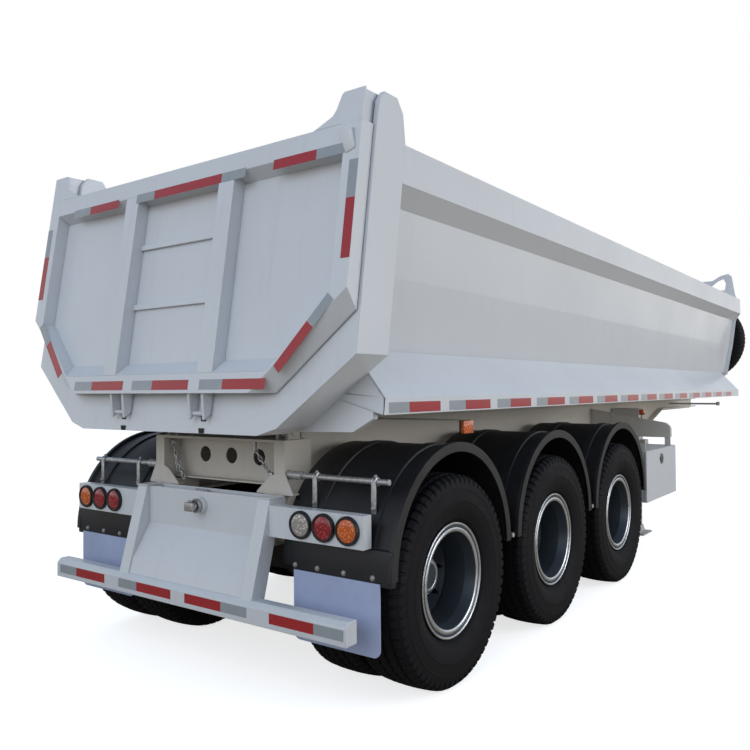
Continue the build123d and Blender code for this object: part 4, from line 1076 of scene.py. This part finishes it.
# tapered outriggers that carry the tool box, its hangers, and the thin arms near the nose
outriggerLook = Values(
    x=(0.495, 0.545),
    outline=[(0.455, 1.338), (1.192, 1.211), (1.229, 1.181), (1.237, 1.158), (1.237, 1.081),
        (1.228, 1.072), (0.455, 1.072)],
    hangers=(((0.500, 0.508), (1.181, 1.235)), ((0.512, 0.522), (0.705, 0.755))), hangerZ=(0.995, 1.074),
    rearX=(-0.245, -0.237), rear=[(0.455, 1.135), (1.217, 1.055), (1.217, 0.995), (0.455, 0.995)],
    armX=3.425, armZ=1.337, armRadius=0.012, armY=(0.452, 1.040), endLow=(0.020, 0.004, 0.022),
    endHigh=(0.020, 0.034, 0.026), softEdge=0.002)


def outriggerBeams():
    look = outriggerLook
    ax, az = look.armX, look.armZ
    start, end = look.armY
    tip = Vector((ax, end, az))
    bm = bmesh.new()
    for side in (1, -1):
        slab(bm, 0, onSide(side, look.outline), *look.x)
        rod(bm, pointing((ax, side * start, az), yAxis * side), look.armRadius, end - start, 20)
        sideBlock(bm, side, tip - Vector(look.endLow), tip + Vector(look.endHigh), look.softEdge)
    z0, z1 = look.hangerZ
    for xs, (y0, y1) in look.hangers:
        slab(bm, 0, onSide(-1, [(y0, z0), (y1, z0), (y1, z1), (y0, z1)]), *xs)
    slab(bm, 0, onSide(-1, look.rear), *look.rearX)
    newPiece("outrigger_beams", bm, "chassis_paint", "chassis", smooth=20, bevel=look.softEdge)


outriggerBeams()


# end walls of the side skirts with the bolster under them, set against the rear frame
endLook = Values(
    skirt=[(0.770, 1.562), (1.250, 1.437), (1.250, 1.516), (1.041, 1.744), (1.030, 1.744),
        (0.790, 1.551)],
    bolster=[(0.500, 1.344), (1.085, 1.356), (1.193, 1.418), (1.193, 1.455), (0.770, 1.565),
        (0.770, 1.551), (0.500, 1.551)],
    frameAt=0.090, frameDeep=0.235, skirtThick=0.006, bolsterThick=0.040)


def skirtEnds():
    look = endLook
    bm = bmesh.new()
    start = look.frameAt + look.frameDeep
    for side in (1, -1):
        for key in ("skirt", "bolster"):
            prism(bm, onSide(side, look[key]), gateAt(start), gateAt(start + look[key + "Thick"]))
    newPiece("skirt_ends", bm, "white_paint", "bed", smooth=0)


skirtEnds()
print("tail forms built")


# side marker lamps: amber lens on a dark base, on a steel arm or stem
markerLook = Values(
    rear=(-3.385, 1.195, 1.346), rearSize=(0.110, 0.030, 0.076), armHalf=0.012, armFrom=0.480,
    armZ=(1.378, 1.386), armIn=0.002, front=(0.525, 0.960, 1.3123), frontSize=(0.044, 0.055, 0.052),
    stemHalf=0.007, stemLow=1.2523, stemIn=0.001, base=0.007, inset=0.003, edge=0.003, baseEdge=0.002,
    domeEdge=0.006, armEdge=0.0015)


def sideMarkers():
    look = markerLook
    inset, edge = look.inset, look.edge
    lenses, arms, bases = bmesh.new(), bmesh.new(), bmesh.new()
    for side in (1, -1):
        x, y, z = look.rear
        a, b, c = (size / 2 for size in look.rearSize)
        seam = y - b + look.base
        sideBlock(bases, side, (x - a, y - b, z - c), (x + a, seam, z + c), edge)
        sideBlock(lenses, side, (x - a + inset, seam, z - c + inset), (x + a - inset, y + b, z + c - inset),
                  edge)
        half, (low, high) = look.armHalf, look.armZ
        sideBlock(arms, side, (x - half, look.armFrom, low), (x + half, y - b + look.armIn, high),
                  look.armEdge)
        x, y, z = look.front
        a, b, c = (size / 2 for size in look.frontSize)
        half, seam = look.stemHalf, z - c + look.base
        sideBlock(bases, side, (x - a, y - b, z - c), (x + a, y + b, seam), look.baseEdge)
        sideBlock(lenses, side, (x - a + inset, y - b + inset, seam), (x + a - inset, y + b - inset, z + c),
                  look.domeEdge)
        sideBlock(arms, side, (x - half, y - half, look.stemLow), (x + half, y + half, z - c + look.stemIn),
                  look.armEdge)
    lens = newPiece("marker_lenses", lenses, "lamp_amber", "chassis")
    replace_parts(lens, "side_markers")
    newPiece("marker_bases", bases, "black_plastic", "chassis")
    newPiece("marker_arms", arms, "chassis_paint", "chassis")


sideMarkers()


# safety chains: round-wire links, each turned a quarter on the last, hung in a shallow curve
# runs hold (top, foot, sag), and lugs their two corners
chainLook = Values(
    wire=0.0040, half=0.0185, bend=0.0078, pitch=0.0262, bendSteps=6, sides=8, lean=45.0, lugEdge=0.003,
    runs=(((-4.063, 0.436, 1.250), (-4.063, 0.332, 1.040), 0.014),
          ((-4.057, 0.430, 1.244), (-4.057, 0.390, 1.080), 0.010),
          ((-4.067, -0.260, 1.240), (-4.067, -0.380, 1.100), 0.008)),
    lugs=(((-4.077, 0.416, 1.236), (-4.043, 0.450, 1.260)),
          ((-4.081, -0.404, 1.034), (-4.045, -0.374, 1.114)),
          ((-4.075, -0.270, 1.230), (-4.057, -0.244, 1.276))))


def chainLink(bm, at):
    look = chainLook
    bend = arc(look.half - look.bend, 0, look.bend, -math.pi / 2, math.pi, look.bendSteps)
    path = [Vector((end * u, end * v, 0)) for end in (1, -1) for u, v in bend]
    rings = []
    for before, middle, after in zip(path[-1:] + path[:-1], path, path[1:] + path[:1]):
        along = (after - before).normalized()
        out = Vector((along.y, -along.x, 0))
        rings.append([bm.verts.new(at @ (middle + out * u + zAxis * v))
                      for u, v in circle(look.wire, look.sides)])
    for one, two in zip(rings, rings[1:] + rings[:1]):
        skin(bm, one, two)


def hangChains():
    look = chainLook
    bm = bmesh.new()
    for top, foot, sag in look.runs:
        top, foot = Vector(top), Vector(foot)
        count = round(((foot - top).length + sag) / look.pitch)
        for i in range(count):
            t = (i + 0.5) / count
            middle = top.lerp(foot, t) - zAxis * 4 * sag * t * (1 - t)
            along = foot - top - zAxis * 4 * sag * (1 - 2 * t)
            quarter = math.radians(look.lean + 90 * (i % 2))
            chainLink(bm, pointing(middle, along) @ Matrix.Rotation(quarter, 4, "X"))
    for low, high in look.lugs:
        roundedBlock(bm, low, high, look.lugEdge)
    newPiece("chain_links", bm, "galvanised", "chassis")


hangChains()
print("markers and chains fitted")


# small fastenings at the tail: bolts across each guard panel and on the stay straps, rims on the stay clamps
guardLook = Values(
    boltY=(0.655, 0.800, 0.965, 1.137), boltZ=0.677, across=0.020, height=0.010, strapZ=0.985,
    clampRadius=0.0195, clampAcross=0.016, clampHeight=0.014, rimIn=0.004, rimSteps=40,
    rim=((-0.001, -0.004), (0.0022, -0.003), (0.003, 0.0), (0.0022, 0.003), (-0.001, 0.004)))


def guardFastenings():
    look, stay = guardLook, stayShape
    panelX, x, z, r = guardShape.board[0][0], stay.x, stay.z, look.clampRadius
    bolts, rims = bmesh.new(), bmesh.new()
    for side in (1, -1):
        for y in look.boltY:
            hexBolt(bolts, (panelX, side * y, look.boltZ), -xAxis, look.across, look.height)
        for y in stay.clampY:
            hexBolt(bolts, (x - stay.strapFrom, side * y, look.strapZ), -xAxis, look.across, look.height)
            hexBolt(bolts, (x, side * y, z + r), zAxis, look.clampAcross, look.clampHeight)
            for edge in (-1, 1):
                at = pointing((x, side * y + edge * (stay.clampHalf - look.rimIn), z), yAxis)
                turned(rims, [(r + dr, along) for dr, along in look.rim], look.rimSteps, at)
    newPiece("guard_bolts", bolts, "galvanised", "chassis", boltSteel)
    newPiece("clamp_rims", rims, "galvanised", "chassis", rimBright)


guardFastenings()


# tow jaw on the round boss between the bumper struts
jawLook = Values(
    boss=(-4.249, 0.0, 0.925), steps=48,
    collar=[(0.0300, 0.0), (0.0380, 0.0), (0.0400, 0.003), (0.0400, 0.014), (0.0370, 0.018),
        (0.0300, 0.018)],
    spigot=[(0.0010, 0.0), (0.0230, 0.0), (0.0230, 0.046), (0.0200, 0.052), (0.0010, 0.054)],
    jawLow=(-4.313, -0.034, 0.900), jawHigh=(-4.297, 0.034, 0.950), jawEdge=0.006,
    bolt=(-4.305, 0.0, 0.950), across=0.018, height=0.012)


def towJaw():
    look = jawLook
    bm = bmesh.new()
    for key in ("collar", "spigot"):
        turned(bm, look[key], look.steps, pointing(look.boss, -xAxis))
    roundedBlock(bm, look.jawLow, look.jawHigh, look.jawEdge)
    hexBolt(bm, look.bolt, zAxis, look.across, look.height)
    newPiece("tow_jaw", bm, "galvanised", "chassis", boltSteel)


towJaw()


# paddle latch of the tool box: black oval dish in two steps, lever and lock barrel
# steps of the dish hold (share of its size, from, to), outward from the door's face
latchLook = Values(
    x=0.150, below=0.095, wide=0.050, tall=0.046, sides=40,
    dish=((1.0, -0.005, 0.0004), (0.86, 0.0004, 0.0007)), lever=(0.011, 0.034), leverUp=0.006, flare=1.25,
    leverOut=(0.0006, 0.0010), lockBelow=0.034, lockRadius=0.008, lockHigh=0.0004)


def boxLatch():
    look = latchLook
    lo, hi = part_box("tool_box_door")
    x, z = look.x, hi.z - look.below
    bm = bmesh.new()
    for share, low, high in look.dish:
        oval = [(x + look.wide * u, z + look.tall * v) for u, v in circle(share, look.sides)]
        slab(bm, 1, oval, lo.y - low, lo.y - high)
    newPiece("box_latch_dish", bm, "black_plastic", "tool_box_door", latchBlack, smooth=0)
    bm = bmesh.new()
    w, h = look.lever
    near, far = look.leverOut
    ends = ((-1, -1), (1, -1), (look.flare, 1), (-look.flare, 1))
    lever = [(x + a * w, z + b * h + look.leverUp) for a, b in ends]
    slab(bm, 1, lever, lo.y - near, lo.y - far)
    disc(bm, pointing((x, lo.y - near, z - look.lockBelow), -yAxis), look.lockRadius, 0.0, look.lockHigh, 20)
    newPiece("box_latch_lever", bm, "galvanised", "tool_box_door", boltSteel, smooth=0)


boxLatch()


# black bars of the gate latch, seen in the slots of the rear frame, and the lug under the gate's right horn
# bars hold (middle, low, high), and the lug (y, z) with its two upper corners standing proud
slotLook = Values(
    bars=((0.325, 1.401, 1.441), (0.318, 1.342, 1.3665)), half=0.017, sunk=0.006,
    proud=(0.004, 0.004, 0.010, 0.010),
    lug=((-1.128, 2.706), (-1.192, 2.716), (-1.214, 2.622), (-1.160, 2.604)),
    lugProud=(0.030, 0.030, 0.004, 0.004), lugEdge=0.002)


def latchBars():
    look = slotLook
    face = endLook.frameAt
    bm = bmesh.new()
    for side in (1, -1):
        for middle, low, high in look.bars:
            y0, y1 = side * middle - look.half, side * middle + look.half
            corners = [(y0, low), (y1, low), (y1, high), (y0, high)]
            loft(bm, [gateAt(face + look.sunk)(*p) for p in corners],
                 [gateAt(face - proud)(*p) for p, proud in zip(corners, look.proud)])
    newPiece("latch_bars", bm, "dark_steel", "bed", latchBlack, smooth=0)
    bm = bmesh.new()
    base = [gatePoint(y, z) for y, z in look.lug]
    loft(bm, base, [p + gateOut * proud for p, proud in zip(base, look.lugProud)])
    bmesh.ops.bevel(bm, geom=list(bm.edges), offset=look.lugEdge, segments=2, affect="EDGES", profile=0.5)
    newPiece("gate_lug", bm, "white_paint", "tailgate", smooth=30)


latchBars()
print("fastenings fitted")


# the yard floor: pale to the camera, and brown in the light that it throws back
floorLook = Values(
    size=160.0, colour=(0.82, 0.83, 0.85), ground=(0.40, 0.325, 0.235), glow=0.72, under=0.0005)


def layFloor(look):
    bm = bmesh.new()
    half = look.size / 2
    corners = ((-half, -half), (half, -half), (half, half), (-half, half))
    bm.faces.new([bm.verts.new((x, y, cadLow.z - look.under)) for x, y in corners])
    f = Finish("paleFloor", 0.95, specular=0.0)
    seen = f.node("LightPath").outputs["Is Camera Ray"]
    f.finish(f.blendColour(seen, look.ground, look.colour))
    glow = f.node("Emission", {"Color": (1, 1, 1), "Strength": f.times(seen, look.glow)})
    both = f.node("AddShader", {0: f.shader.outputs[0], 1: glow.outputs[0]})
    f.tree.links.new(both.outputs[0], f.tree.nodes["Material Output"].inputs[0])
    floor = bpy.data.objects.new("yardFloor", meshFrom("yardFloor", bm, f.material))
    scene.collection.objects.link(floor)


layFloor(floorLook)

print("done")
